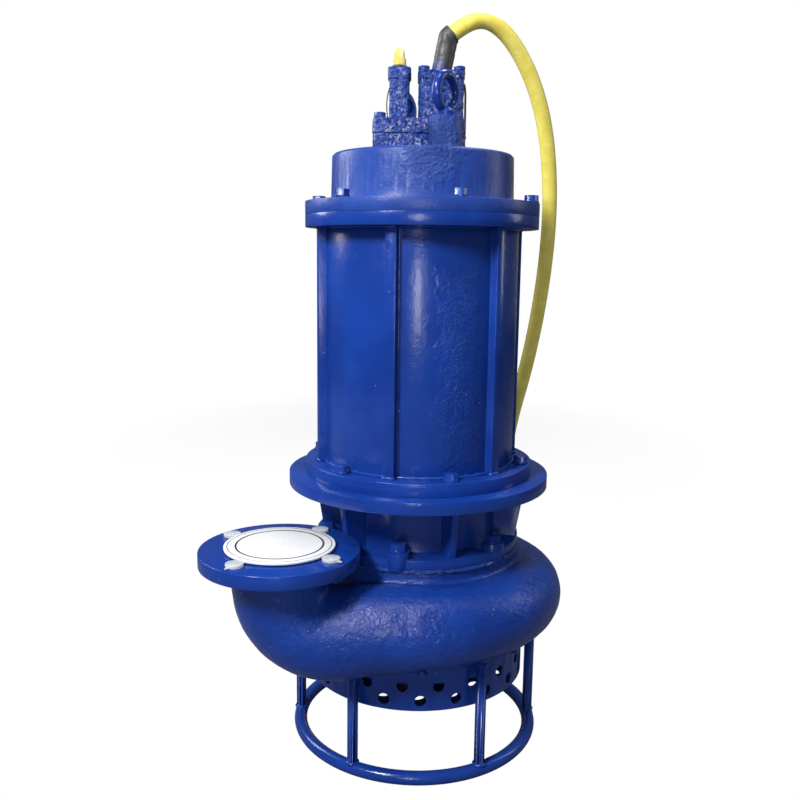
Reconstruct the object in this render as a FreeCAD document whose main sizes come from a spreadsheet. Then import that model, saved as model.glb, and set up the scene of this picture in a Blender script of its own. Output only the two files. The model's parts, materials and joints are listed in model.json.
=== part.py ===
"""Submersible slurry pump standing on its ring, with a bottom strainer and an upturned outlet."""

import FreeCAD, Part
import math
import os

import Sketcher
from FreeCAD import Placement, Rotation, Vector

doc = FreeCAD.newDocument("SlurryPump")

# Driving sizes in millimetres and degrees. Heights are levels above the floor.
# Angles on the pump are counted from the front, towards the right-hand side.

SIZES = {
    # Stand
    "ring_bar": 18, "ring_radius": 165.7, "leg_bar": 14, "leg_count": 6, "leg_turn": 30, "weld_gap": 0.2,
    # Strainer basket
    "basket_radius": 152, "basket_wall": 2.5, "basket_depth": 66, "basket_hole": 15, "basket_mouth": 78,
    "upper_holes_drop": 33, "lower_holes_drop": 52.5, "upper_holes_turn": -7.3, "lower_holes_turn": 1.7,
    "holes_around": 20, "basket_bolts": 12, "basket_bolts_drop": 17, "basket_bolts_turn": 2.5,
    # Suction side
    "suction_face": 160, "suction_flange": 10, "skirt_drop": 20, "skirt_wall": 9, "suction_eye": 50,
    "plug_height": 21, "plug_radius": 117, "eye_round": 8, "suction_bolts": 8, "suction_bolt_circle": 127,
    "suction_thread": 10, "basket_thread": 8, "floor_holes": 16, "floor_hole": 22, "floor_hole_circle": 116,
    # Volute and outlet
    "core_radius": 141, "core_height": 117, "chamber_radius": 120, "throat_half": 18, "throat_radius": 143,
    "spiral_lift": 55, "spiral_reach": 219, "tongue_reach": 167, "spiral_sink": 24, "tongue_sink": 42,
    "spiral_wall": 12, "outlet_across": -173, "outlet_inset": 10.5, "bend_radius": 65, "bend_drop": 11,
    "neck_radius": 60, "neck_wall": 14, "lug_width": 24, "lug_height": 30,
    "outlet_flange": 200, "outlet_rise": 35.9, "outlet_flange_thick": 17.5, "outlet_bore": 80,
    "outlet_circle": 160, "outlet_hole": 18, "outlet_holes": 4, "outlet_turn": 57, "raised_face": 132,
    "raised_face_height": 2,
    # Transit cover of the outlet
    "cover_disc": 137.6, "cover_thick": 3, "cap_disc": 22, "cap_height": 4,
    # Impeller and agitator
    "impeller_radius": 110, "impeller_gap": 2, "impeller_shroud": 9, "impeller_vane_height": 40,
    "impeller_vanes": 4, "vane_thick": 9, "hub_radius": 30, "agitator_radius": 62,
    "agitator_height": 22, "agitator_blades": 4, "agitator_thread": 16, "stub_bar": 26, "key_width": 10,
    "key_length": 36,
    # Shaft
    "shaft_end": 38, "shaft_seal": 45, "shaft_bearing": 45, "shaft_rotor": 60, "shaft_top": 40,
    "fit_gap": 0.05, "run_gap": 0.3,
    # Oil chamber casting between the volute and the motor
    "chamber_flange": 15, "spigot_drop": 20, "drum_radius": 108, "drum_wall": 10, "plate_radius": 179,
    "drum_height": 70.3, "plate_thick": 15.9, "gusset_top": 150, "gusset_foot": 138, "gusset_width": 9,
    "gusset_turn": 18, "gusset_count": 6, "chamber_bolts": 6, "chamber_bolt_thread": 12,
    "chamber_bolt_circle": 131, "chamber_bolts_turn": -11.5, "boss_width": 30, "boss_height": 9,
    "seal_bore": 36, "relief_gap": 1.5, "oil_plug_hex": 19,
    "oil_plug_thread": 14, "oil_plug_turn": 168, "oil_plug_lift": 30, "cover_screws": 4,
    "cover_screw_thread": 6,
    # Motor casing
    "casing_radius": 130, "casing_wall": 12, "lower_flange_radius": 156, "lower_flange_thick": 17.3,
    "upper_flange_radius": 155.7, "tube_length": 312.2, "upper_flange_thick": 16.4,
    "rib_reach": 141, "rib_width": 14.5, "rib_turn": -16.5, "rib_count": 6, "flange_bolts": 6,
    "lower_bolt_circle": 143, "lower_bolts_turn": 15.5, "upper_bolt_circle": 145, "upper_bolts_turn": 16.5,
    "flange_thread": 10,
    # Motor
    "stator_bore": 75, "stator_lift": 34.5, "stator_height": 210, "air_gap": 0.6, "winding_overhang": 26,
    "winding_inner": 84, "winding_outer": 110, "end_ring": 8,
    "bearing_outer": 100, "bearing_width": 25, "ball_count": 8, "upper_bearing_outer": 90,
    "upper_bearing_width": 23, "upper_bearing_drop": 17.7, "bracket_rim": 5, "bracket_thick": 14,
    # Top cover
    "cover_flange_thick": 17, "dome_radius": 121.5, "dome_top_radius": 120, "dome_height": 61.3,
    "dome_wall": 10, "dome_roof": 12, "lift_boss": 43, "lift_boss_height": 39.6, "lift_boss_across": 26,
    "lift_boss_depth": -72,
    # Terminal box on the top cover
    "box_left": -65, "box_right": 52, "box_front": -66, "box_back": 66, "box_corner": 10,
    "box_base_height": 20.6, "box_lid_height": 19, "box_gap": 0.4, "box_wall": 9, "box_screw_edge": 9,
    "box_thread": 8, "wire_hole": 40,
    # Cable entries
    "gland_across": 22, "gland_width": 60, "gland_depth": 52, "gland_height": 55, "gland_plate": 10,
    "sleeve_bar": 26, "sleeve_lean": 11, "sleeve_length": 53, "mouth_lean": 52, "mouth_length": 7,
    "power_cable_bar": 21,
    "post_across": -32, "post_back": -10, "post_width": 26, "post_height": 54, "clamp_height": 15,
    "signal_cable_bar": 13, "grommet_bar": 17, "grommet_lean": 55,
    # Lifting eyes
    "eye_ring": 42, "eye_bar": 12, "eye_collar": 26, "eye_collar_height": 9, "eye_turn": 54,
    # Coils of the spare cable, behind the pump
    "power_coil_radius": 157.5, "signal_coil_radius": 97.5, "coil_depth": 380,
}

sheet = doc.addObject("Spreadsheet::Sheet", "Sizes")
for row, (word, number) in enumerate(SIZES.items(), start=1):
    sheet.set(f"A{row}", word)
    sheet.set(f"B{row}", str(number))
    sheet.setAlias(f"B{row}", word)
doc.recompute()


class Measure:
    """A size that carries its value and the formula that ties it to the sheet."""

    def __init__(self, number, formula):
        self.number = number
        self.formula = formula

    def _with(self, other, sign, number):
        return Measure(number, f"({self.formula} {sign} {formula_of(other)})")

    def __add__(self, other):
        return self._with(other, "+", self.number + number_of(other))

    def __sub__(self, other):
        return self._with(other, "-", self.number - number_of(other))

    def __mul__(self, other):
        return self._with(other, "*", self.number * number_of(other))

    def __truediv__(self, other):
        return self._with(other, "/", self.number / number_of(other))

    def __neg__(self):
        return Measure(-self.number, f"(0 - {self.formula})")

    __radd__ = __add__

    def __rsub__(self, other):
        return Measure(number_of(other) - self.number, f"({formula_of(other)} - {self.formula})")

    __rmul__ = __mul__


def number_of(size):
    return size.number if isinstance(size, Measure) else float(size)


def formula_of(size):
    return size.formula if isinstance(size, Measure) else repr(float(size))


def cosine(angle):
    return Measure(math.cos(math.radians(number_of(angle))), f"cos({formula_of(angle)})")


def sine(angle):
    return Measure(math.sin(math.radians(number_of(angle))), f"sin({formula_of(angle)})")


def size(word):
    return Measure(float(sheet.get(word)), f"Sizes.{word}")


def val(word):
    return float(sheet.get(word))


def count(word):
    return int(round(sheet.get(word)))


def bind(thing, **sizes):
    """Set each property of an object from a formula of the sheet."""
    for name, measure in sizes.items():
        thing.setExpression(name.replace("__", "."), formula_of(measure))
    return thing


def place(thing, across=0, depth=0, level=0, turn=None, axis=(0, 0, 1)):
    """Put an object at a point, turned about an axis, by one formula."""
    turned_by = 0 if turn is None else turn
    spot = f"create(<<vector>>; {formula_of(across)}; {formula_of(depth)}; {formula_of(level)})"
    about = "create(<<vector>>; {}; {}; {})".format(*axis)
    swing = f"create(<<rotation>>; {about}; {formula_of(turned_by)})"
    thing.setExpression("Placement", f"create(<<placement>>; {spot}; {swing})")
    return thing


def around(thing, radius, angle, level, facing=True):
    """Put an object at a radius and an angle from the front, turned to face outwards."""
    heading = angle - 90
    return place(thing, radius * cosine(heading), radius * sine(heading), level,
                 turn=heading if facing else 0)


def rod(name, radius, length):
    return bind(doc.addObject("Part::Cylinder", name), Radius=radius, Height=length)


def hexagon(name, across_flats, length):
    prism = doc.addObject("Part::Prism", name)
    prism.Polygon = 6
    return bind(prism, Circumradius=across_flats / math.sqrt(3), Height=length)


def block(name, length, width, height):
    return bind(doc.addObject("Part::Box", name), Length=length, Width=width, Height=height)


def fuse(name, pieces, refine=True):
    joined = doc.addObject("Part::MultiFuse", name)
    joined.Shapes = pieces
    joined.Refine = refine
    return joined


def cut(name, base, tools):
    result = doc.addObject("Part::Cut", name)
    result.Base = base
    result.Tool = tools[0] if len(tools) == 1 else fuse(name + "_tools", tools)
    result.Refine = True
    return result


def group(name, pieces):
    together = doc.addObject("Part::Compound", name)
    together.Links = pieces
    return together


def fixed_shape(name, shape):
    piece = doc.addObject("Part::Feature", name)
    piece.Shape = shape
    return piece


nodes = []


def node(name, thing):
    """Name a finished sub-part."""
    thing.Label = name
    if thing.Label != name:
        raise ValueError(f"the name {name} is taken")
    nodes.append(thing)
    return thing


def plane(body, role):
    for feature in body.Origin.OriginFeatures:
        if feature.Role == role:
            return feature
    raise ValueError(role)


def outline(body, name, points, role="XZ_Plane", level=None):
    """A closed sketch of straight lines whose corners are tied to the sheet."""
    sketch = body.newObject("Sketcher::SketchObject", name)
    sketch.AttachmentSupport = [(plane(body, role), "")]
    sketch.MapMode = "FlatFace"
    if level is not None:
        sketch.setExpression("AttachmentOffset.Base.z", formula_of(level))
    corners = [Vector(number_of(a), number_of(b), 0) for a, b in points]
    total = len(corners)
    for i in range(total):
        sketch.addGeometry(Part.LineSegment(corners[i], corners[(i + 1) % total]), False)
    for i in range(total):
        sketch.addConstraint(Sketcher.Constraint("Coincident", i, 2, (i + 1) % total, 1))
    for i, (a, b) in enumerate(points):
        across = sketch.addConstraint(Sketcher.Constraint("DistanceX", -1, 1, i, 1, corners[i].x))
        upward = sketch.addConstraint(Sketcher.Constraint("DistanceY", -1, 1, i, 1, corners[i].y))
        if isinstance(a, Measure):
            sketch.setExpression(f"Constraints[{across}]", a.formula)
        if isinstance(b, Measure):
            sketch.setExpression(f"Constraints[{upward}]", b.formula)
    return sketch


def turned(name, points):
    """A body turned about the pump's axis from a profile of (radius, level) corners."""
    body = doc.addObject("PartDesign::Body", name)
    sketch = outline(body, name + "_profile", points)
    spin = body.newObject("PartDesign::Revolution", name + "_turning")
    spin.Profile = sketch
    spin.ReferenceAxis = (sketch, ["V_Axis"])
    spin.Angle = 360
    body.Tip = spin
    return body


def pad_around(body, name, points, level, height, copies, angle):
    """A pad on a level plane, repeated around the axis."""
    sketch = outline(body, name + "_outline", points, "XY_Plane", level)
    sketch.setExpression("AttachmentOffset.Rotation.Angle", formula_of(angle - 90))
    pad = body.newObject("PartDesign::Pad", name)
    pad.Profile = sketch
    bind(pad, Length=height)
    doc.recompute()
    pattern = body.newObject("PartDesign::PolarPattern", name + "_pattern")
    pattern.Originals = [pad]
    pattern.Axis = (sketch, ["N_Axis"])
    pattern.Angle = 360
    pattern.Occurrences = copies
    body.Tip = pattern
    return body


def screw(name, thread, across_flats, head, length, washer=None):
    """A hexagon bolt that points down, with its head's underside at its own level zero."""
    lift = 0
    pieces = []
    if washer:
        disc = rod(name + "_washer", washer[0] / 2, washer[1])
        pieces.append(disc)
        lift = washer[1]
    cap = hexagon(name + "_head", across_flats, head)
    cap.Placement = Placement(Vector(0, 0, number_of(lift)), Rotation())
    shank = rod(name + "_shank", thread / 2, length)
    place(shank, level=-length)
    pieces += [cap, shank]
    return fuse(name, pieces)


def screws_around(name, circle, angle, level, copies, **form):
    made = []
    for i in range(copies):
        bolt = screw(f"{name}_{i}", **form)
        made.append(around(bolt, circle, angle + 360.0 / copies * i, level))
    return node(name, group(name + "_set", made))


# Levels and radii that follow from the sizes

shank_gap = size("run_gap")
basket_bottom = size("suction_face") - size("basket_depth")
basket_bolts_level = size("suction_face") - size("basket_bolts_drop")
skirt_bottom = size("suction_face") - size("suction_flange") - size("skirt_drop")
skirt_radius = size("basket_radius") - size("basket_wall") - size("run_gap")
flange_underside = size("suction_face") - size("suction_flange")
plug_top = size("suction_face") + size("plug_height")
vane_bottom = plug_top + size("impeller_gap")
vane_top = vane_bottom + size("impeller_vane_height")
shroud_top = vane_top + size("impeller_shroud")
core_top = size("suction_face") + size("core_height")
spiral_level = size("suction_face") + size("spiral_lift")
bend_level = spiral_level - size("bend_drop")
spiral_bulge = (size("spiral_reach") - size("core_radius") + size("spiral_sink")) / 2
tongue_bulge = (size("tongue_reach") - size("core_radius") + size("tongue_sink")) / 2
outlet_depth = spiral_bulge - size("spiral_reach") + size("outlet_inset")
outlet_flange_top = core_top + size("outlet_rise")
outlet_flange_bottom = outlet_flange_top - size("outlet_flange_thick")
raised_face_top = outlet_flange_top + size("raised_face_height")
spigot_bottom = core_top - size("spigot_drop")
chamber_flange_top = core_top + size("chamber_flange")
oil_plug_level = chamber_flange_top + size("oil_plug_lift")
plate_bottom = chamber_flange_top + size("drum_height")
plate_top = plate_bottom + size("plate_thick")
lower_bearing_top = plate_top - 1
lower_bearing_bottom = lower_bearing_top - size("bearing_width")
lower_flange_top = plate_top + size("lower_flange_thick")
upper_flange_bottom = lower_flange_top + size("tube_length")
upper_flange_top = upper_flange_bottom + size("upper_flange_thick")
casing_bore = size("casing_radius") - size("casing_wall")
stator_bottom = lower_flange_top + size("stator_lift")
stator_top = stator_bottom + size("stator_height")
upper_bearing_bottom = upper_flange_bottom - size("upper_bearing_drop")
upper_bearing_top = upper_bearing_bottom + size("upper_bearing_width")
cover_flange_top = upper_flange_top + size("cover_flange_thick")
dome_top = cover_flange_top + size("dome_height")
lift_boss_top = dome_top + size("lift_boss_height")
box_split = dome_top + size("box_base_height")
box_top = box_split + size("box_lid_height")
gland_top = box_top + size("gland_height")
post_top = box_top + size("post_height")
clamp_top = post_top + size("clamp_height")


# Stand: a bar bent into a ring, with six upright bars welded to it

ring = doc.addObject("Part::Torus", "stand_ring_bar")
bind(ring, Radius1=size("ring_radius"), Radius2=size("ring_bar") / 2)
place(ring, level=size("ring_bar") / 2)
node("stand_ring", ring)


# Volute: a spiral belly that grows towards the front, then a bend up to the outlet flange

def section(centre, heading, inward, radius):
    """A round section of the casing, square to the flow, with its seam turned inwards."""
    circle = Part.Circle(Vector(0, 0, 0), Vector(0, 0, 1), radius).toShape()
    side = heading.cross(inward)
    circle.Placement = Placement(centre, Rotation(inward, side, heading, "ZXY"))
    return Part.Wire([circle])


def spiral(start, thinner):
    """The belly from an angle upstream of the front, each section smaller than the next."""
    wires = []
    step = 22.5
    stops = [start] + [step * k for k in range(int(start // step), -1, -1)]
    if stops[0] - stops[1] < step / 3:
        stops.pop(1)
    for upstream in stops:
        share = upstream / 270
        reach = val("spiral_reach") - (val("spiral_reach") - val("tongue_reach")) * share
        bulge = number_of(spiral_bulge) - number_of(spiral_bulge - tongue_bulge) * share
        angle = math.radians(upstream - 90)
        outward = Vector(math.cos(angle), math.sin(angle), 0)
        heading = Vector(math.sin(angle), -math.cos(angle), 0)
        centre = outward * (reach - bulge) + Vector(0, 0, number_of(spiral_level))
        wires.append(section(centre, heading, -outward, bulge - thinner))
    return Part.makeLoft(wires, True, False)


def outlet(thinner, thinner_neck, mouth_radius):
    """The run from the front of the belly, round the bend and up to the outlet flange."""
    start_radius = number_of(spiral_bulge)
    first = Vector(0, start_radius - val("spiral_reach"), number_of(spiral_level))
    last = Vector(val("outlet_across") + val("bend_radius"), number_of(outlet_depth), number_of(bend_level))
    wires = []
    run = 3
    for k in range(run + 1):
        share = k / run
        centre = first + (last - first) * share
        outer = start_radius + (val("neck_radius") - start_radius) * share ** 0.8
        wall = thinner + (thinner_neck - thinner) * share
        wires.append(section(centre, Vector(-1, 0, 0), Vector(0, 1, 0), outer - wall))
    pivot = last + Vector(0, 0, val("bend_radius"))
    for degrees in (22.5, 45, 67.5, 90):
        swing = math.radians(degrees)
        arm = Vector(-math.sin(swing), 0, -math.cos(swing))
        heading = Vector(-math.cos(swing), 0, math.sin(swing))
        centre = pivot + arm * val("bend_radius")
        wires.append(section(centre, heading, Vector(0, 1, 0), val("neck_radius") - thinner_neck))
    mouth = Vector(val("outlet_across"), number_of(outlet_depth), number_of(outlet_flange_bottom))
    wires.append(section(mouth, Vector(0, 0, 1), Vector(0, 1, 0), mouth_radius))
    return Part.makeLoft(wires, True, False)


def leg_angles():
    return [size("leg_turn") + 360.0 / count("leg_count") * i for i in range(count("leg_count"))]


def build_volute():
    core = turned("volute_core", [
        (size("plug_radius") + size("run_gap"), size("suction_face")),
        (size("core_radius") + 12, size("suction_face")),
        (size("core_radius") + 12, size("suction_face") + 14),
        (size("core_radius"), size("suction_face") + 22),
        (size("core_radius"), core_top),
        (size("chamber_radius"), core_top),
        (size("chamber_radius"), plug_top),
        (size("plug_radius") + size("run_gap"), plug_top),
    ])
    outside_run = outlet(0.0, 0.0, val("neck_radius"))
    belly = fixed_shape("volute_belly", spiral(335.0, 0.0).fuse(outside_run))
    flange = rod("outlet_flange_disc", size("outlet_flange") / 2, size("outlet_flange_thick"))
    place(flange, size("outlet_across"), outlet_depth, outlet_flange_bottom)
    face = rod("outlet_raised_face", size("raised_face") / 2, size("raised_face_height"))
    place(face, size("outlet_across"), outlet_depth, outlet_flange_top)
    lugs = []
    for i, angle in enumerate(leg_angles()):
        tongue = block(f"leg_lug_{i}", size("ring_radius") - size("chamber_radius") - 8, size("lug_width"),
                       size("lug_height"))
        heading = angle - 90
        inner = size("chamber_radius") + 8
        half = size("lug_width") / 2
        place(tongue, inner * cosine(heading) + half * sine(heading),
              inner * sine(heading) - half * cosine(heading), size("suction_face"), turn=heading)
        nose = rod(f"leg_lug_nose_{i}", size("lug_width") / 2, size("lug_height"))
        around(nose, size("ring_radius"), angle, size("suction_face"))
        lugs += [tongue, nose]
    outside = fuse("volute_outside", [core, belly, flange, face] + lugs)
    throat = turned("volute_throat", [
        (size("chamber_radius") - 20, spiral_level - size("throat_half")),
        (size("throat_radius"), spiral_level - size("throat_half")),
        (size("throat_radius"), spiral_level + size("throat_half")),
        (size("chamber_radius") - 20, spiral_level + size("throat_half")),
    ])
    bore_radius = val("outlet_bore") / 2
    channel = spiral(300.0, val("spiral_wall"))
    passage = outlet(val("spiral_wall"), val("neck_wall"), bore_radius)
    inside = fixed_shape("volute_channel", channel.fuse(passage))
    bore = rod("outlet_bore_cut", size("outlet_bore") / 2, size("outlet_flange_thick") + 20)
    place(bore, size("outlet_across"), outlet_depth, outlet_flange_bottom - 0.05)
    chamber = turned("impeller_chamber", [
        (0, size("suction_face") - 40),
        (size("plug_radius") + size("run_gap"), size("suction_face") - 40),
        (size("plug_radius") + size("run_gap"), plug_top),
        (size("chamber_radius"), plug_top),
        (size("chamber_radius"), core_top + 40),
        (0, core_top + 40),
    ])
    holes = []
    for i in range(count("outlet_holes")):
        angle = size("outlet_turn") + 360.0 / count("outlet_holes") * i
        hole = rod(f"outlet_hole_{i}", size("outlet_hole") / 2, size("outlet_flange_thick") + 2)
        reach = size("outlet_circle") / 2
        place(hole, size("outlet_across") + reach * cosine(angle),
              outlet_depth + reach * sine(angle), outlet_flange_bottom - 1)
        holes.append(hole)
    for i in range(count("chamber_bolts")):
        hole = rod(f"core_top_hole_{i}", size("chamber_bolt_thread") / 2 + shank_gap, 22)
        holes.append(around(hole, size("chamber_bolt_circle"),
                            size("chamber_bolts_turn") + 360.0 / count("chamber_bolts") * i,
                            core_top - 20))
    for i in range(count("suction_bolts")):
        hole = rod(f"core_foot_hole_{i}", size("suction_thread") / 2 + shank_gap, 16)
        holes.append(around(hole, size("suction_bolt_circle"), 360.0 / count("suction_bolts") * i,
                            size("suction_face") - 1))
    basket_room = rod("basket_room", size("basket_radius") + size("run_gap"), size("suction_face"))
    holes.append(basket_room)
    return node("volute_casing", cut("volute", outside, [inside, throat, bore, chamber] + holes))


volute = build_volute()


def build_legs():
    """Upright bars between the ring and the casing, cut to fit the round of both."""
    torus = doc.addObject("Part::Torus", "leg_foot_cutter")
    bind(torus, Radius1=size("ring_radius"), Radius2=size("ring_bar") / 2 + size("weld_gap"))
    place(torus, level=size("ring_bar") / 2)
    belly = fixed_shape("leg_top_cutter", outlet(-val("weld_gap"), -val("weld_gap"), val("neck_radius")))
    legs = []
    for i, angle in enumerate(leg_angles()):
        bar = rod(f"leg_bar_{i}", size("leg_bar") / 2, size("suction_face") - size("ring_bar") / 2)
        around(bar, size("ring_radius"), angle, size("ring_bar") / 2)
        legs.append(bar)
    standing = group("leg_bars", legs)
    return node("stand_legs", cut("legs", standing, [torus, belly]))


build_legs()


def flipped(name, thing, axis, angle):
    """A carrier that holds a piece turned on its side or upside down."""
    thing.Placement = Placement(Vector(0, 0, 0), Rotation(Vector(*axis), angle))
    return group(name, [thing])


def radial_rod(name, radius, start, length, angle, level):
    """A bar that lies along a radius of the pump."""
    return around(flipped(name, rod(name + "_bar", radius, length), (0, 1, 0), 90), start, angle, level)


def every(copies, first):
    return [first + 360.0 / copies * i for i in range(copies)]


# Suction side: the wear plate with its eye, and the strainer basket screwed round its skirt

def build_suction_cover():
    eye = size("suction_eye")
    body = turned("suction_plate", [
        (eye, size("suction_face") - 2),
        (eye, plug_top),
        (size("plug_radius"), plug_top),
        (size("plug_radius"), size("suction_face")),
        (skirt_radius, size("suction_face")),
        (skirt_radius, skirt_bottom),
        (skirt_radius - size("skirt_wall"), skirt_bottom),
        (skirt_radius - size("skirt_wall"), flange_underside),
        (eye + size("eye_round"), flange_underside),
    ])
    tools = []
    for i, angle in enumerate(every(count("suction_bolts"), 0)):
        hole = rod(f"suction_hole_{i}", size("suction_thread") / 2 + shank_gap, size("suction_flange") + 2)
        tools.append(around(hole, size("suction_bolt_circle"), angle, flange_underside - 1))
    for i, angle in enumerate(every(count("basket_bolts"), size("basket_bolts_turn"))):
        tools.append(radial_rod(f"skirt_hole_{i}", size("basket_thread") / 2 + shank_gap,
                                skirt_radius - size("skirt_wall") - 2, size("skirt_wall") + 4, angle,
                                basket_bolts_level))
    node("suction_cover", cut("suction_cover", body, tools))
    bolts = []
    for i, angle in enumerate(every(count("suction_bolts"), 0)):
        bolt = screw(f"suction_bolt_{i}", size("suction_thread"), 16, 6.4, size("suction_flange") + 12)
        bolts.append(around(flipped(f"suction_bolt_up_{i}", bolt, (1, 0, 0), 180),
                            size("suction_bolt_circle"), angle, flange_underside))
    node("suction_cover_bolts", group("suction_bolts_set", bolts))


def build_basket():
    outer = size("basket_radius")
    inner = outer - size("basket_wall")
    floor = basket_bottom + size("basket_wall")
    body = turned("basket_shell", [
        (size("basket_mouth"), basket_bottom),
        (outer, basket_bottom),
        (outer, size("suction_face")),
        (inner, size("suction_face")),
        (inner, floor),
        (size("basket_mouth"), floor),
    ])
    tools = []
    rows = (("upper_holes_drop", "upper_holes_turn"), ("lower_holes_drop", "lower_holes_turn"))
    for drop, turn in rows:
        for i, angle in enumerate(every(count("holes_around"), size(turn))):
            tools.append(radial_rod(f"{drop}_{i}", size("basket_hole") / 2, inner - 4,
                                    size("basket_wall") + 8, angle, size("suction_face") - size(drop)))
    for i, angle in enumerate(every(count("basket_bolts"), size("basket_bolts_turn"))):
        tools.append(radial_rod(f"basket_bolt_hole_{i}", size("basket_thread") / 2 + shank_gap, inner - 4,
                                size("basket_wall") + 8, angle, basket_bolts_level))
    for i, angle in enumerate(every(count("floor_holes"), 0)):
        hole = rod(f"floor_hole_{i}", size("floor_hole") / 2, size("basket_wall") + 4)
        tools.append(around(hole, size("floor_hole_circle"), angle, basket_bottom - 2))
    node("strainer_basket", cut("strainer_basket", body, tools))
    bolts = []
    for i, angle in enumerate(every(count("basket_bolts"), size("basket_bolts_turn"))):
        bolt = screw(f"basket_bolt_{i}", size("basket_thread"), 13, 5.3,
                     size("basket_wall") + size("skirt_wall"))
        bolts.append(around(flipped(f"basket_bolt_out_{i}", bolt, (0, 1, 0), 90), outer, angle,
                            basket_bolts_level))
    node("strainer_bolts", group("basket_bolts_set", bolts))


build_suction_cover()
build_basket()


# Wear plate behind the impeller, and the oil chamber casting with its gussets and bolt bosses

def build_oil_chamber():
    bore = size("bearing_outer") / 2
    hub = bore + 14
    inner = size("drum_radius") - size("drum_wall")
    spigot = size("chamber_radius") - size("run_gap")
    groove = spigot - 4.2
    node("back_plate", turned("back_plate", [
        (size("seal_bore") - 2, spigot_bottom - 10),
        (spigot, spigot_bottom - 10),
        (spigot, spigot_bottom),
        (size("seal_bore") - 2, spigot_bottom),
    ]))
    casting = turned("oil_chamber_casting", [
        (size("seal_bore"), spigot_bottom),
        (spigot, spigot_bottom),
        (spigot, spigot_bottom + 8),
        (groove, spigot_bottom + 8),
        (groove, spigot_bottom + 14),
        (spigot, spigot_bottom + 14),
        (spigot, core_top),
        (size("core_radius"), core_top),
        (size("core_radius"), chamber_flange_top),
        (size("drum_radius"), chamber_flange_top),
        (size("drum_radius"), plate_bottom),
        (size("plate_radius"), plate_bottom),
        (size("plate_radius"), plate_top),
        (size("casing_radius") - 2, plate_top),
        (size("casing_radius") - 2, plate_top - 4),
        (size("casing_radius") - 8, plate_top - 4),
        (size("casing_radius") - 8, plate_top),
        (bore, plate_top),
        (bore, lower_bearing_bottom),
        (size("seal_bore"), lower_bearing_bottom),
        (size("seal_bore"), lower_bearing_bottom - 22),
        (hub, lower_bearing_bottom - 22),
        (hub, plate_bottom - 6),
        (inner, plate_bottom - 6),
        (inner, chamber_flange_top - 5),
        (size("seal_bore") + 12, chamber_flange_top - 5),
        (size("seal_bore") + 12, chamber_flange_top + 4),
        (size("seal_bore"), chamber_flange_top + 4),
    ])
    added = [casting]
    for i, angle in enumerate(every(count("gusset_count"), size("gusset_turn"))):
        web = doc.addObject("Part::Wedge", f"gusset_{i}_web")
        inside = size("drum_radius") - 3
        bind(web, Xmin=inside, Xmax=size("gusset_foot"), X2min=inside, X2max=size("gusset_top"), Ymin=0,
             Ymax=plate_bottom - chamber_flange_top, Zmin=-size("gusset_width") / 2,
             Zmax=size("gusset_width") / 2, Z2min=-size("gusset_width") / 2, Z2max=size("gusset_width") / 2)
        added.append(around(flipped(f"gusset_{i}", web, (1, 0, 0), 90), 0, angle, chamber_flange_top))
    bolt_angles = every(count("chamber_bolts"), size("chamber_bolts_turn"))
    for i, angle in enumerate(bolt_angles):
        boss = rod(f"chamber_boss_{i}", size("boss_width") / 2,
                   size("chamber_flange") + size("boss_height") - 1)
        added.append(around(boss, size("chamber_bolt_circle"), angle, core_top + 1))
    tools = []
    for i, angle in enumerate(bolt_angles):
        hole = rod(f"chamber_hole_{i}", size("chamber_bolt_thread") / 2 + shank_gap,
                   size("chamber_flange") + size("boss_height") + 4)
        tools.append(around(hole, size("chamber_bolt_circle"), angle, core_top - 2))
    for i, angle in enumerate(every(count("flange_bolts"), size("lower_bolts_turn"))):
        hole = rod(f"plate_hole_{i}", size("flange_thread") / 2 + shank_gap, size("plate_thick") + 4)
        tools.append(around(hole, size("lower_bolt_circle"), angle, plate_bottom - 2))
    for i, angle in enumerate(every(count("cover_screws"), 45)):
        hole = rod(f"cover_screw_hole_{i}", size("cover_screw_thread") / 2 + shank_gap, 14)
        tools.append(around(hole, bore + 7, angle, plate_top - 13))
    tools.append(radial_rod("oil_plug_hole", size("oil_plug_thread") / 2 + shank_gap, inner - 4,
                            size("drum_wall") + 8, size("oil_plug_turn"), oil_plug_level))
    gap = size("relief_gap")
    relief = rod("outlet_relief", size("outlet_flange") / 2 + gap, size("outlet_flange_thick") + gap * 2)
    tools.append(place(relief, size("outlet_across"), outlet_depth, outlet_flange_bottom - gap))
    node("oil_chamber", cut("oil_chamber", fuse("oil_chamber_solid", added), tools))
    screws_around("oil_chamber_bolts", size("chamber_bolt_circle"), size("chamber_bolts_turn"),
                  chamber_flange_top + size("boss_height"), count("chamber_bolts"),
                  thread=size("chamber_bolt_thread"), across_flats=19, head=7.5,
                  length=size("chamber_flange") + size("boss_height") + 14, washer=(24, 2.5))
    plug = screw("oil_plug_screw", size("oil_plug_thread"), size("oil_plug_hex"), 8, size("drum_wall"),
                 (24, 2))
    node("oil_plug", around(flipped("oil_plug", plug, (0, 1, 0), 90), size("drum_radius"),
                            size("oil_plug_turn"), oil_plug_level))
    return groove, spigot


def square_ring(name, inner, outer, bottom, top):
    return turned(name, [(inner, bottom), (outer, bottom), (outer, top), (inner, top)])


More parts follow.
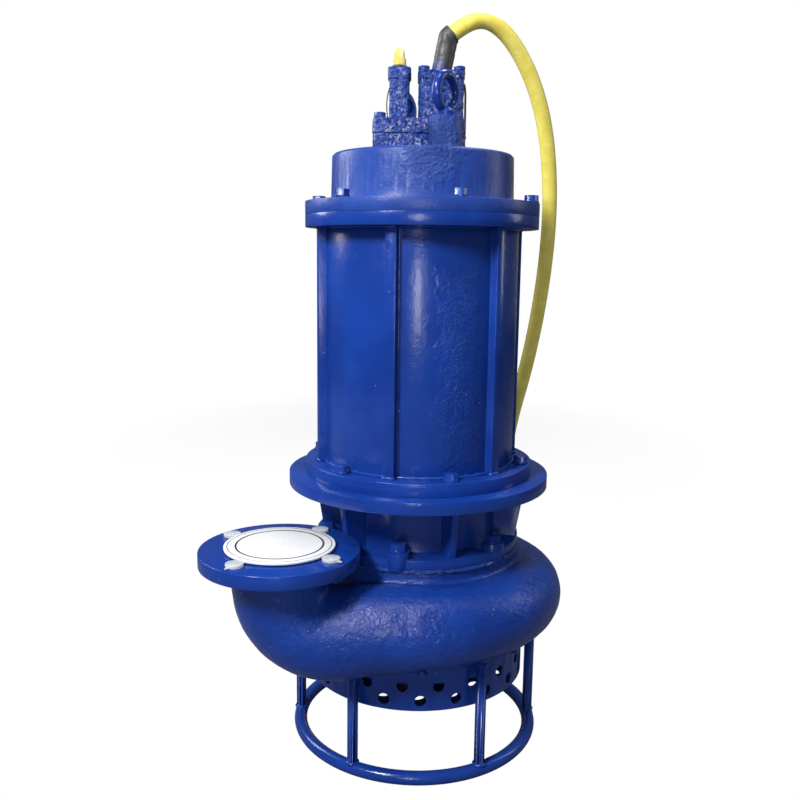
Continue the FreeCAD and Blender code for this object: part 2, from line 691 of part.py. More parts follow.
def build_seals(groove, spigot):
    face = size("casing_radius")
    node("o_rings", group("o_rings_set", [
        square_ring("spigot_ring", groove + 0.1, spigot + 0.15, spigot_bottom + 8.2, spigot_bottom + 13.8),
        square_ring("lower_casing_ring", face - 7.8, face - 2.2, plate_top - 3.9, plate_top),
        square_ring("upper_casing_ring", face - 1.8, face + 3.8, upper_flange_top, upper_flange_top + 3.9),
    ]))
    bore = size("seal_bore") - size("fit_gap")
    seat = size("shaft_seal") / 2 + 1.5
    turning = size("shaft_seal") / 2 + size("fit_gap")
    node("seal_seats", group("seal_seats_set", [
        square_ring("lower_seal_seat", seat, bore, spigot_bottom + 1, spigot_bottom + 12),
        square_ring("upper_seal_seat", seat, bore, lower_bearing_bottom - 13, lower_bearing_bottom - 2),
    ]))
    node("seal_rings", group("seal_rings_set", [
        square_ring("lower_seal_ring", turning, bore - 4, spigot_bottom + 12.1, spigot_bottom + 36),
        square_ring("upper_seal_ring", turning, bore - 4, lower_bearing_bottom - 38,
                    lower_bearing_bottom - 13.1),
    ]))


groove_floor, spigot_radius = build_oil_chamber()
build_seals(groove_floor, spigot_radius)


# Bearings: a ring in the housing, a ring on the shaft and balls between their grooves

def build_bearing(name, bore, outer, width, bottom):
    pitch = (bore + outer) / 4
    ball = (outer - bore) / 2 * 0.31
    middle = bottom + width / 2
    inner_face = bore / 2 + size("fit_gap")
    outer_face = outer / 2 - size("fit_gap")
    shoulder = ball * 0.62
    races = {"outer": (pitch + shoulder, outer_face), "inner": (inner_face, pitch - shoulder)}
    for side, (hollow, face) in races.items():
        blank = place(rod(f"{name}_{side}_blank", face, width), level=bottom)
        way = place(rod(f"{name}_{side}_bore", hollow, width + 2), level=bottom - 1)
        groove = doc.addObject("Part::Torus", f"{name}_{side}_groove")
        bind(groove, Radius1=pitch, Radius2=ball + size("run_gap"))
        place(groove, level=middle)
        node(f"{name}_{side}_ring", cut(f"{name}_{side}_cut", blank, [way, groove]))
    balls = []
    for i, angle in enumerate(every(count("ball_count"), 0)):
        sphere = bind(doc.addObject("Part::Sphere", f"{name}_ball_{i}"), Radius=ball)
        balls.append(around(sphere, pitch, angle, middle))
    return balls


def build_motor():
    lower = build_bearing("lower_bearing", size("shaft_bearing"), size("bearing_outer"),
                          size("bearing_width"), lower_bearing_bottom)
    upper = build_bearing("upper_bearing", size("shaft_top"), size("upper_bearing_outer"),
                          size("upper_bearing_width"), upper_bearing_bottom)
    node("bearing_balls", group("bearing_balls_set", lower + upper))
    bore = size("bearing_outer") / 2
    cover = square_ring("bearing_cover_disc", size("shaft_bearing") / 2 + 6, bore + 15, plate_top,
                        plate_top + 6)
    holes = []
    for i, angle in enumerate(every(count("cover_screws"), 45)):
        hole = rod(f"cover_hole_{i}", size("cover_screw_thread") / 2 + shank_gap, 8)
        holes.append(around(hole, bore + 7, angle, plate_top - 1))
    node("bearing_cover", cut("bearing_cover", cover, holes))
    screws_around("bearing_cover_screws", bore + 7, 45, plate_top + 6, count("cover_screws"),
                  thread=size("cover_screw_thread"), across_flats=10, head=4, length=16)
    build_casing()
    stator_radius = casing_bore - size("fit_gap")
    node("stator_core", square_ring("stator_core", size("stator_bore"), stator_radius, stator_bottom,
                                    stator_top))
    coils = []
    for name, start, way in (("lower", stator_bottom, -1), ("upper", stator_top, 1)):
        tip = start + size("winding_overhang") * way
        shoulder = tip - 6 * way
        coils.append(turned(name + "_winding", [
            (size("winding_inner"), start),
            (size("winding_outer"), start),
            (size("winding_outer"), shoulder),
            (size("winding_outer") - 6, tip),
            (size("winding_inner") + 6, tip),
            (size("winding_inner"), shoulder),
        ]))
    node("stator_windings", group("windings_set", coils))
    bracket_bottom = upper_flange_top - size("bracket_thick")
    rim = casing_bore + size("bracket_rim") - size("run_gap")
    seat = size("upper_bearing_outer") / 2
    bracket = turned("bracket_casting", [
        (seat, upper_bearing_bottom - 3),
        (seat + 11, upper_bearing_bottom - 3),
        (seat + 11, bracket_bottom),
        (rim, bracket_bottom),
        (rim, upper_flange_top - 0.3),
        (seat - 14, upper_flange_top - 0.3),
        (seat - 14, upper_bearing_top + 2),
        (seat, upper_bearing_top + 2),
    ])
    windows = []
    for i, angle in enumerate(every(3, 30)):
        hole = rod(f"bracket_window_{i}", 12, size("bracket_thick") + 4)
        windows.append(around(hole, (seat + rim) / 2, angle, bracket_bottom - 2))
    node("upper_bearing_bracket", cut("upper_bearing_bracket", bracket, windows))


def flange_ring(name, radius, bottom, top, circle, turn):
    """A flat ring round the motor tube with its bolt holes."""
    ring = square_ring(name + "_disc", size("casing_radius"), radius, bottom, top)
    holes = []
    for i, angle in enumerate(every(count("flange_bolts"), turn)):
        hole = rod(f"{name}_hole_{i}", size("flange_thread") / 2 + shank_gap, top - bottom + 4)
        holes.append(around(hole, circle, angle, bottom - 2))
    return node(name, cut(name, ring, holes))


def build_casing():
    """The motor's outer tube with six upright ribs, and the flange ring welded to each end."""
    seat = casing_bore + size("bracket_rim")
    step = upper_flange_top - size("bracket_thick")
    body = turned("casing_tube", [
        (casing_bore, plate_top),
        (size("casing_radius"), plate_top),
        (size("casing_radius"), upper_flange_top),
        (seat, upper_flange_top),
        (seat, step),
        (casing_bore, step),
    ])
    half = size("rib_width") / 2
    root = size("casing_radius") - 4
    reach = size("rib_reach")
    pad_around(body, "rib", [(root, -half), (reach, -half), (reach, half), (root, half)], lower_flange_top,
               size("tube_length"), count("rib_count"), size("rib_turn"))
    node("motor_casing", body)
    flange_ring("lower_casing_flange", size("lower_flange_radius"), plate_top, lower_flange_top,
                size("lower_bolt_circle"), size("lower_bolts_turn"))
    flange_ring("upper_casing_flange", size("upper_flange_radius"), upper_flange_bottom, upper_flange_top,
                size("upper_bolt_circle"), size("upper_bolts_turn"))
    form = dict(thread=size("flange_thread"), across_flats=16, head=7.5, washer=(20, 2.6))
    screws_around("lower_flange_bolts", size("lower_bolt_circle"), size("lower_bolts_turn"),
                  lower_flange_top, count("flange_bolts"), length=size("lower_flange_thick") + 13, **form)
    screws_around("top_cover_bolts", size("upper_bolt_circle"), size("upper_bolts_turn"), cover_flange_top,
                  count("flange_bolts"), length=size("cover_flange_thick") + 13, **form)


build_motor()


# Shaft and what turns with it

def build_rotor():
    end = size("shaft_end") / 2
    stub = size("stub_bar") / 2
    seal = size("shaft_seal") / 2
    core = size("shaft_rotor") / 2
    top = size("shaft_top") / 2
    nose = vane_bottom + 7
    hub_top = spigot_bottom - 13
    stub_end = skirt_bottom - 14
    bolt_hole = size("agitator_thread") / 2 + shank_gap
    shaft = turned("shaft_bar", [
        (bolt_hole, stub_end),
        (stub, stub_end),
        (stub, nose),
        (end, nose),
        (end, hub_top),
        (seal, hub_top),
        (seal, lower_bearing_top),
        (seal + 4, lower_bearing_top),
        (seal + 4, stator_bottom - 30),
        (core, stator_bottom - 30),
        (core, stator_top + 20),
        (top + 6, stator_top + 20),
        (top + 6, upper_bearing_bottom),
        (top, upper_bearing_bottom),
        (top, upper_bearing_top + 1),
        (0, upper_bearing_top + 1),
        (0, stub_end + 30),
        (bolt_hole, stub_end + 30),
    ])
    keyway = block("shaft_keyway", size("key_width") + 0.1, size("key_width") + 0.1,
                   size("key_length") + 0.1)
    key = block("key_bar", size("key_width"), size("key_width"), size("key_length"))
    half = size("key_width") / 2
    place(keyway, end - half - 0.05, -half - 0.05, nose + 9.95)
    place(key, end - half, -half, nose + 10)
    node("shaft", cut("shaft", shaft, [keyway]))
    node("impeller_key", key)
    rotor_radius = size("stator_bore") - size("air_gap")
    inner = core + size("fit_gap")
    node("rotor_core", square_ring("rotor_core", inner, rotor_radius, stator_bottom, stator_top))
    node("rotor_end_rings", group("end_rings_set", [
        square_ring("lower_end_ring", inner + 12, rotor_radius - 1,
                    stator_bottom - size("end_ring"), stator_bottom),
        square_ring("upper_end_ring", inner + 12, rotor_radius - 1, stator_top,
                    stator_top + size("end_ring")),
    ]))
    build_impeller(nose, hub_top, end, stub)
    build_agitator(stub_end, stub)


def vane(name, inner, outer, thick, sweep, bottom, height):
    """One blade: two arcs through three points each, swept back against the turning."""
    def edge(offset):
        points = []
        for share in (0.0, 0.5, 1.0):
            radius = inner + (outer - inner) * share
            angle = math.radians(sweep * share) + offset / radius
            points.append(Vector(radius * math.cos(angle), radius * math.sin(angle), bottom))
        return points
    low = edge(-thick / 2)
    high = edge(thick / 2)
    wire = Part.Wire([
        Part.Arc(low[0], low[1], low[2]).toShape(),
        Part.LineSegment(low[2], high[2]).toShape(),
        Part.Arc(high[2], high[1], high[0]).toShape(),
        Part.LineSegment(high[0], low[0]).toShape(),
    ])
    return fixed_shape(name, Part.Face(wire).extrude(Vector(0, 0, height)))


def build_impeller(nose, hub_top, end, stub):
    body = turned("impeller_disc", [
        (stub + size("fit_gap"), vane_bottom),
        (size("hub_radius") - 3, vane_bottom),
        (size("hub_radius"), vane_top),
        (size("impeller_radius"), vane_top),
        (size("impeller_radius"), shroud_top),
        (size("hub_radius") + 4, shroud_top),
        (size("hub_radius"), hub_top),
        (end + size("fit_gap"), hub_top),
        (end + size("fit_gap"), nose),
        (stub + size("fit_gap"), nose),
    ])
    blades = []
    for i in range(count("impeller_vanes")):
        blade = vane(f"vane_{i}", val("hub_radius") - 4, val("impeller_radius") - 0.5, val("vane_thick"), 75,
                     number_of(vane_bottom), val("impeller_vane_height") + 1)
        turn = 360 / count("impeller_vanes") * i
        blade.Placement = Placement(Vector(0, 0, 0), Rotation(Vector(0, 0, 1), turn))
        blades.append(blade)
    slot = block("hub_keyway", size("key_width") + 0.1, size("key_width") + 0.1, size("key_length") + 0.1)
    place(slot, end - size("key_width") / 2 - 0.05, -size("key_width") / 2 - 0.05, nose + 9.95)
    node("impeller", cut("impeller", fuse("impeller_solid", [body] + blades), [slot]))


def build_agitator(stub_end, stub):
    bottom = stub_end - 14
    bolt_hole = size("agitator_thread") / 2 + shank_gap
    hub = turned("agitator_hub", [
        (bolt_hole, bottom),
        (stub + 6, bottom),
        (stub + 9, bottom + 6),
        (stub + 9, vane_bottom - 12),
        (stub + 5, vane_bottom - 0.1),
        (stub + size("fit_gap"), vane_bottom - 0.1),
        (stub + size("fit_gap"), stub_end - 0.5),
        (bolt_hole, stub_end - 0.5),
    ])
    blades = []
    inside = stub + 3
    for i, angle in enumerate(every(count("agitator_blades"), 0)):
        blade = block(f"agitator_blade_{i}", size("agitator_radius") - inside, 8, size("agitator_height"))
        place(blade, inside, -4, -size("agitator_height") / 2)
        tilted = group(f"agitator_blade_tilted_{i}", [blade])
        tilted.Placement = Placement(Vector(0, 0, 0), Rotation(Vector(1, 0, 0), 28))
        blades.append(around(group(f"agitator_blade_set_{i}", [tilted]), 0, angle,
                             bottom + size("agitator_height") / 2 + 5))
    node("agitator", fuse("agitator_solid", [hub] + blades, refine=False))
    bolt = screw("agitator_screw", size("agitator_thread"), 24, 10, 40)
    node("agitator_bolt", around(flipped("agitator_screw_up", bolt, (1, 0, 0), 180), 0, 0, bottom))


build_rotor()


# Top cover: a flanged dome with two bosses for the lifting eyes

def boss_spots():
    across = size("lift_boss_across")
    depth = size("lift_boss_depth")
    return [(across, depth), (-across, -depth)]


def build_top_cover():
    inner = size("dome_radius") - size("dome_wall")
    roof = dome_top - size("dome_roof")
    face = size("casing_radius")
    dome = turned("dome", [
        (inner, upper_flange_top),
        (face - 2, upper_flange_top),
        (face - 2, upper_flange_top + 4),
        (face + 4, upper_flange_top + 4),
        (face + 4, upper_flange_top),
        (size("upper_flange_radius"), upper_flange_top),
        (size("upper_flange_radius"), cover_flange_top),
        (size("dome_radius"), cover_flange_top),
        (size("dome_top_radius"), dome_top - 3),
        (size("dome_top_radius") - 3, dome_top),
        (size("wire_hole") / 2, dome_top),
        (size("wire_hole") / 2, roof),
        (inner, roof),
    ])
    bosses = []
    tools = []
    for i, (across, depth) in enumerate(boss_spots()):
        boss = rod(f"lift_boss_{i}", size("lift_boss") / 2, lift_boss_top - dome_top + 5)
        bosses.append(place(boss, across, depth, dome_top - 5))
        hole = rod(f"lift_hole_{i}", size("eye_bar") / 2 + shank_gap, 34)
        tools.append(place(hole, across, depth, lift_boss_top - 30))
    for i, angle in enumerate(every(count("flange_bolts"), size("upper_bolts_turn"))):
        hole = rod(f"cover_flange_hole_{i}", size("flange_thread") / 2 + shank_gap,
                   size("cover_flange_thick") + 4)
        tools.append(around(hole, size("upper_bolt_circle"), angle, upper_flange_top - 2))
    node("top_cover", cut("top_cover", fuse("top_cover_solid", [dome] + bosses), tools))


def build_lifting_eyes():
    eyes = []
    collar_top = lift_boss_top + size("eye_collar_height")
    middle = collar_top + size("eye_ring") / 2 - 1
    for i, (across, depth) in enumerate(boss_spots()):
        loop = doc.addObject("Part::Torus", f"eye_loop_{i}")
        bind(loop, Radius1=size("eye_ring") / 2, Radius2=size("eye_bar") / 2)
        loop.Placement = Placement(Vector(0, 0, 0), Rotation(Vector(0, 1, 0), 90))
        raised = place(group(f"eye_raised_{i}", [loop]), level=middle)
        collar = place(rod(f"eye_collar_{i}", size("eye_collar") / 2, size("eye_collar_height") - 3),
                       level=lift_boss_top)
        neck = bind(doc.addObject("Part::Cone", f"eye_neck_{i}"), Radius1=size("eye_collar") / 2,
                    Radius2=size("eye_bar") / 2, Height=6)
        place(neck, level=collar_top - 3)
        shank = rod(f"eye_shank_{i}", size("eye_bar") / 2, 26)
        place(shank, level=lift_boss_top - 25)
        whole = fuse(f"lifting_eye_{i}", [raised, collar, neck, shank])
        eyes.append(place(whole, across, depth, turn=90 + size("eye_turn") + 180 * i))
    node("lifting_eyes", group("lifting_eyes_set", eyes))


# Terminal box, which the two bosses cut into, and the cable entries on its lid

def rounded_block(name, left, right, front, back, bottom, top, corner):
    tall = top - bottom
    wide = block(name + "_wide", right - left, back - front - corner * 2, tall)
    place(wide, left, front + corner, bottom)
    deep = block(name + "_deep", right - left - corner * 2, back - front, tall)
    place(deep, left + corner, front, bottom)
    pieces = [wide, deep]
    for i, across in enumerate((left + corner, right - corner)):
        for j, depth in enumerate((front + corner, back - corner)):
            pieces.append(place(rod(f"{name}_corner_{i}{j}", corner, tall), across, depth, bottom))
    return fuse(name, pieces)


def build_terminal_box():
    left, right = size("box_left"), size("box_right")
    front, back = size("box_front"), size("box_back")
    corner, wall = size("box_corner"), size("box_wall")
    split, top, bottom = box_split, box_top, dome_top
    edge = size("box_screw_edge")
    spots = [(left + edge, front + edge), (left + edge, 0), (right - edge, back - edge),
             (right - edge, front + edge * 3.4)]

    def notches(name):
        made = []
        for i, (across, depth) in enumerate(boss_spots()):
            notch = rod(f"{name}_notch_{i}", size("lift_boss") / 2 + size("box_gap"), top - bottom + 20)
            made.append(place(notch, across, depth, bottom - 10))
        for i, (across, depth) in enumerate(spots):
            hole = rod(f"{name}_screw_hole_{i}", size("box_thread") / 2 + shank_gap, 31)
            made.append(place(hole, across, depth, top - 30))
        return made
    base = rounded_block("box_base_outside", left, right, front, back, bottom, split, corner)
    room = rounded_block("box_base_room", left + wall * 2, right - wall * 2, -30, 30, bottom - 5,
                         split + 5, 6)
    node("terminal_box_base", cut("terminal_box_base", base, [room] + notches("box_base")))
    lid = rounded_block("box_lid_outside", left, right, front, back, split, top, corner)
    lift = rounded_block("box_lid_room", left + wall * 2, right - wall * 2, -30, 30, split - 5, top - 8, 6)
    tools = [lift] + notches("box_lid")
    tools.append(place(rod("power_way", size("power_cable_bar") / 2 + 1, 40), size("gland_across"), 0,
                       top - 20))
    tools.append(place(rod("signal_way", size("signal_cable_bar") / 2 + 1, 40), size("post_across"),
                       size("post_back"), top - 20))
    node("terminal_box_lid", cut("terminal_box_lid", lid, tools))
    screws = []
    for i, (across, depth) in enumerate(spots):
        bolt = screw(f"box_screw_{i}", size("box_thread"), 13, 6.5, 28)
        screws.append(place(bolt, across, depth, top))
    node("terminal_box_bolts", group("box_screws_set", screws))


def sleeve_foot():
    """Where the rubber sleeve starts inside the gland: across and level."""
    return size("gland_across") - 1.5, gland_top + 3


def sleeve_bend():
    across, level = sleeve_foot()
    return (across + size("sleeve_length") * sine(size("sleeve_lean")),
            level + size("sleeve_length") * cosine(size("sleeve_lean")))


def build_cable_entries():
    across, top = size("gland_across"), box_top
    half, deep = size("gland_width") / 2, size("gland_depth") / 2
    sleeve = size("sleeve_bar") / 2
    spots = [(across + half * sx * 0.76, deep * sy * 0.72) for sx in (-1, 1) for sy in (-1, 1)]
    body = rounded_block("gland_outside", across - half + 1, across + half - 1, -deep + 1, deep - 1, top,
                         gland_top, 7)
    way = place(rod("gland_way", sleeve + 2, 90), across, 0, top - 5)
    holes = [place(rod(f"gland_hole_{i}", size("box_thread") / 2 + shank_gap, 30), a, d,
                   gland_top - 18) for i, (a, d) in enumerate(spots)]
    node("power_gland", cut("power_gland", body, [way] + holes))
    plate_level = gland_top + size("gland_plate")
    plate = rounded_block("gland_plate_outside", across - half, across + half, -deep, deep,
                          gland_top, plate_level, 8)
    plate_way = place(rod("gland_plate_way", sleeve + 2, 90), across, 0, top - 5)
    plate_holes = [place(rod(f"gland_plate_hole_{i}", size("box_thread") / 2 + shank_gap, 30), a, d,
                         gland_top - 2) for i, (a, d) in enumerate(spots)]
    node("power_gland_plate", cut("power_gland_plate", plate, [plate_way] + plate_holes))
    bolts = [place(screw(f"gland_bolt_{i}", size("box_thread"), 13, 5.3, 24), a, d, plate_level)
             for i, (a, d) in enumerate(spots)]
    node("power_gland_bolts", group("gland_bolts_set", bolts))
    start, bend = sleeve_foot(), sleeve_bend()
    rubber = rod("sleeve_upright", sleeve, size("sleeve_length"))
    place(rubber, start[0], 0, start[1], turn=size("sleeve_lean"), axis=(0, 1, 0))
    elbow = bind(doc.addObject("Part::Sphere", "sleeve_elbow"), Radius=sleeve)
    place(elbow, bend[0], 0, bend[1])
    mouth = rod("sleeve_mouth", sleeve, size("mouth_length"))
    place(mouth, bend[0], 0, bend[1], turn=size("mouth_lean"), axis=(0, 1, 0))
    beyond = rod("sleeve_beyond", sleeve + 2, sleeve)
    lean = size("mouth_lean")
    place(beyond, bend[0] + size("mouth_length") * sine(lean), 0,
          bend[1] + size("mouth_length") * cosine(lean), turn=lean, axis=(0, 1, 0))
    node("cable_sleeve", cut("sleeve", fuse("sleeve_whole", [rubber, elbow, mouth]), [beyond]))
    post, back = size("post_across"), size("post_back")
    width = size("post_width") / 2
    stem = rounded_block("post_outside", post - width, post + width, back - width - 2, back + width + 2, top,
                         post_top, 6)
    stem_way = place(rod("post_way", size("signal_cable_bar") / 2 + 1, 80), post, back, top - 5)
    node("signal_gland", cut("signal_gland", stem, [stem_way]))
    clamp = rounded_block("clamp_outside", post - width - 2, post + width + 2, back - width - 2,
                          back + width + 2, post_top, clamp_top, 8)
    clamp_way = place(rod("clamp_way", size("signal_cable_bar") / 2 + 1, 30), post, back,
                      post_top - 5)
    node("signal_clamp", cut("signal_clamp", clamp, [clamp_way]))
    stub = rod("grommet_bar_solid", size("grommet_bar") / 2, 36)
    lean = size("grommet_lean")
    place(stub, post, back - 4 - 20 * sine(lean), clamp_top - 2 - 20 * cosine(lean), turn=-lean,
          axis=(1, 0, 0))
    above = block("grommet_keep", 80, 80, 60)
    place(above, post - 40, back - 40, clamp_top)
    keep = doc.addObject("Part::Common", "signal_grommet")
    keep.Base = stub
    keep.Tool = above
    node("signal_grommet", keep)


build_top_cover()
build_lifting_eyes()
build_terminal_box()
build_cable_entries()


# Cover that protects the outlet in transit: a disc on the raised face and a cap over each bolt hole

def build_outlet_cover():
    disc = rod("outlet_cover_disc", size("cover_disc") / 2, size("cover_thick"))
    node("outlet_cover", place(disc, size("outlet_across"), outlet_depth, raised_face_top))
    caps = []
    for i, angle in enumerate(every(count("outlet_holes"), size("outlet_turn"))):
        cap = rod(f"cap_disc_{i}", size("cap_disc") / 2, size("cap_height"))
        tail = doc.addObject("Part::Wedge", f"cap_tail_{i}")
        half = size("cap_disc") / 2
        bind(tail, Xmin=0, Xmax=1, X2min=0, X2max=1, Ymin=0, Ymax=half + 5, Zmin=-half * 0.7,
             Zmax=half * 0.7, Z2min=-1, Z2max=1)
        tail.Placement = Placement(Vector(0, 0, 2), Rotation(Vector(0, 1, 0), 90))
        whole = fuse(f"outlet_cap_{i}", [cap, group(f"cap_tail_set_{i}", [tail])])
        reach = size("outlet_circle") / 2
        caps.append(place(whole, size("outlet_across") + reach * cosine(angle),
                          outlet_depth + reach * sine(angle), outlet_flange_top,
                          turn=angle - 90))
    node("outlet_cover_caps", group("outlet_caps_set", caps))


build_outlet_cover()


# Cables: the stretch that hangs free is a tube of straight runs and tangent arcs,
# and the spare length is a round coil on the floor behind the pump

def cable_tube(name, points, bar):
    """A round tube along a route, with each corner rounded as far as its two runs allow."""
    edges = []
    radii = []
    start = points[0]
    last = len(points) - 1
    for i in range(1, last):
        back, ahead = points[i - 1] - points[i], points[i + 1] - points[i]
        shorter = min(back.Length, ahead.Length)
        turn = math.pi - back.getAngle(ahead)
        reach = 0.45 * shorter
        radii.append(reach / math.tan(turn / 2))
        back.normalize()
        ahead.normalize()
        into, out = points[i] + back * reach, points[i] + ahead * reach
        halfway = back + ahead
        halfway.normalize()
        centre = points[i] + halfway * (radii[-1] / math.cos(turn / 2))
        middle = centre - halfway * radii[-1]
        edges.append(Part.LineSegment(start, into).toShape())
        edges.append(Part.Arc(into, middle, out).toShape())
        start = out
    edges.append(Part.LineSegment(start, points[last]).toShape())
    path = Part.Wire(edges)
    circle = Part.Wire([Part.Circle(points[0], points[1] - points[0], bar / 2).toShape()])
    tube = path.makePipeShell([circle], True, False, 0)
    expected = math.pi * (bar / 2) ** 2 * path.Length
    print(f"{name}: {path.Length:.0f} mm long, radii", " ".join(f"{radius:.0f}" for radius in radii))
    print(f"{name}: volume {tube.Volume / expected:.4f} of section times length")
    return node(name, fixed_shape(name + "_tube", tube))


def cable_coil(name, mean, bar, columns, layers):
    half = columns * bar / 2
    high = layers * bar
    soft = bar / 2
    coil = turned(name + "_winding", [
        (mean - half, soft), (mean - half + soft, 0), (mean + half - soft, 0), (mean + half, soft),
        (mean + half, high - soft), (mean + half - soft, high), (mean - half + soft, high),
        (mean - half, high - soft),
    ])
    return node(name, place(group(name + "_placed", [coil]), depth=size("coil_depth")))


BOOT = 0.54


def cable_end(name, bar, start, heading):
    """The bare end: a boot and four cores that come out of it."""
    boot = place(rod(name + "_boot", bar * BOOT, bar * 1.5), 0, 0, 0)
    cores = []
    for i in range(4):
        core = rod(f"{name}_core_{i}", bar * 0.12, bar * 3.4)
        spread = bar * 0.2
        cores.append(place(core, spread * cosine(90 * i + 45), spread * sine(90 * i + 45), 0))
    end = fuse(name + "_bundle", [boot] + cores)
    carrier = flipped(name, end, (0, 1, 0), 90)
    return node(name, place(carrier, start[0], start[1], start[2], turn=heading))


def power_exit():
    """The mouth of the rubber sleeve and the way that it points."""
    across, level = sleeve_bend()
    lean = math.radians(val("mouth_lean"))
    way = Vector(math.sin(lean), 0, math.cos(lean))
    return Vector(number_of(across), 0, number_of(level)) + way * val("mouth_length"), way


def signal_exit():
    """The mouth of the grommet and the way that it points."""
    lean = math.radians(val("grommet_lean"))
    way = Vector(0, math.sin(lean), math.cos(lean))
    foot = Vector(val("post_across"), val("post_back") - 4, number_of(clamp_top) - 2)
    return foot + way * 16, way


def route(start, way, straight, spots):
    """A cable's points: its exit, the end of the straight stretch there, and the rest."""
    return [start, start + way * straight] + [Vector(*spot) for spot in spots]


def power_route():
    start, way = power_exit()
    return route(start, way, 23, (
        (79, 7, 977), (105, 17, 965), (131, 31, 936), (152, 45, 900), (169, 60, 855), (181, 77, 797),
        (187, 95, 727), (185.5, 114, 650), (178, 131, 570), (166, 149, 492), (151, 168, 420),
        (143, 188, 345), (141, 210, 272), (144, 234, 204), (148, 262, 146), (146, 292, 102),
        (139, 322, 74), (131.5, 347, 56),
    ))


def signal_route():
    start, way = signal_exit()
    return route(start, way, 26, (
        (-33, 54, 934), (-35, 90, 922), (-37, 122, 894), (-39, 149, 851), (-41, 172, 794), (-43, 189, 722),
        (-44, 200, 640), (-45, 206, 552), (-47, 210, 462), (-51, 216, 374), (-58, 228, 290), (-68, 243, 212),
        (-79, 262, 146), (-89, 291, 99), (-101, 330, 72), (-109, 370, 60),
    ))


def build_cables():
    cable_tube("power_cable", power_route(), val("power_cable_bar"))
    cable_coil("power_cable_coil", size("power_coil_radius"), size("power_cable_bar"), 3, 3)
    cable_end("power_cable_end", size("power_cable_bar"), (92, 220, size("power_cable_bar") * BOOT), 15)
    cable_tube("signal_cable", signal_route(), val("signal_cable_bar"))
    cable_coil("signal_cable_coil", size("signal_coil_radius"), size("signal_cable_bar"), 3, 5)
    cable_end("signal_cable_end", size("signal_cable_bar"),
              (-54, size("coil_depth") + 54, size("signal_cable_bar") * BOOT), 0)


build_cables()


def check_and_write():
    doc.recompute()
    for thing in doc.Objects:
        if "Invalid" in thing.State or "Error" in thing.State:
            raise RuntimeError(f"{thing.Name} failed: {thing.State}")
    os.makedirs("parts", exist_ok=True)
    for thing in nodes:
        shape = thing.Shape
        if shape.isNull() or not shape.isValid() or not shape.Solids:
            raise RuntimeError(f"{thing.Label} has no valid solid")
    for thing in nodes:
        thing.Shape.exportStep(f"parts/{thing.Label}.step")
    print(f"{len(nodes)} sub-parts written")


check_and_write()
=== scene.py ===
# %% [markdown]
# A submersible slurry pump, dressed for its picture.
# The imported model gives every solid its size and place. This lesson keeps those places and
# adds what a foundry and a paint shop leave behind: rounded edges, weld beads, thick enamel
# with runs and dust in it, rubber, and two yellow cables with their spare length coiled.

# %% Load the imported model
import bpy
import json
import math
from mathutils import Matrix, Vector


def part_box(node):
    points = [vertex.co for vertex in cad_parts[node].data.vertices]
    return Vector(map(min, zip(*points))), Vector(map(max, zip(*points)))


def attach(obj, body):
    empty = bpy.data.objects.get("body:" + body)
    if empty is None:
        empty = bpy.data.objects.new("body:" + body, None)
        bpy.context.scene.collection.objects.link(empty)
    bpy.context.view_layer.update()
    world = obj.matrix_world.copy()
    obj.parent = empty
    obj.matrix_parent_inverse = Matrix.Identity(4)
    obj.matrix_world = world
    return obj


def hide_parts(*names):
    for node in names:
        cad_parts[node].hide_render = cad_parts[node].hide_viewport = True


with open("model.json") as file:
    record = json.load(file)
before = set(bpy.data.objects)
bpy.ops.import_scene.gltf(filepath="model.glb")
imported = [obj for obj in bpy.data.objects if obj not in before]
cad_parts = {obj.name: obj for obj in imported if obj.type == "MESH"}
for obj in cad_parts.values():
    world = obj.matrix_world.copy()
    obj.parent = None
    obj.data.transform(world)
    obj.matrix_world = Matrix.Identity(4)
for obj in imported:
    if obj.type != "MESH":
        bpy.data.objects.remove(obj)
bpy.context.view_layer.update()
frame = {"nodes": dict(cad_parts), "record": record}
nodes = frame["nodes"]
MM = 0.001

# %% [markdown]
# The camera comes first, because everything is judged through it. Its place was worked out from
# round edges whose real size is known: the outlet flange, the motor flanges and the stand ring.
# It stands a little over a metre in front of the pump, at two thirds of its height, and looks
# slightly down, so upright edges lean towards the foot of the picture.

# %% Camera
CAMERA_SPOT = Vector((-26.4, -1191, 672)) * MM
LENS = 39.16
PITCH_DOWN = math.radians(9.42)
ROLL = math.radians(0.71)

camera_data = bpy.data.cameras.new("camera")
camera_data.lens = LENS
camera_data.sensor_width = 36
camera = bpy.data.objects.new("camera", camera_data)
bpy.context.collection.objects.link(camera)
tilt = Matrix.Rotation(math.pi / 2 - PITCH_DOWN, 4, "X") @ Matrix.Rotation(ROLL, 4, "Z")
camera.matrix_world = Matrix.Translation(CAMERA_SPOT) @ tilt
bpy.context.scene.camera = camera
bpy.context.scene.view_settings.view_transform = "Standard"
print("camera at", [round(v, 3) for v in CAMERA_SPOT])

# %% [markdown]
# A material is a small net of nodes. One helper adds a node and fills its inputs, so that each
# finish below reads as a recipe. All patterns use Object coordinates: a piece's object sits at
# the origin, so a pattern keeps its real size and stays on the surface.

# %% A helper for node nets
def feed(material, value, socket):
    """Give an input a number or a colour, or plug another node's output into it."""
    if isinstance(value, bpy.types.NodeSocket):
        material.node_tree.links.new(value, socket)
    else:
        socket.default_value = value


def put(material, kind, **inputs):
    """Add a shader node. An input is a number, a colour or another node's output."""
    made = material.node_tree.nodes.new("ShaderNode" + kind)
    for word, value in inputs.items():
        feed(material, value, made.inputs[word.replace("_", " ")])
    return made


def new_material(name):
    material = bpy.data.materials.new(name)
    material.use_nodes = True
    return material


# %% [markdown]
# Most finishes start from noise, a cloudy grey value at each spot. A ramp stretches that value to
# the range a recipe needs, and arithmetic joins two of them into a mask.

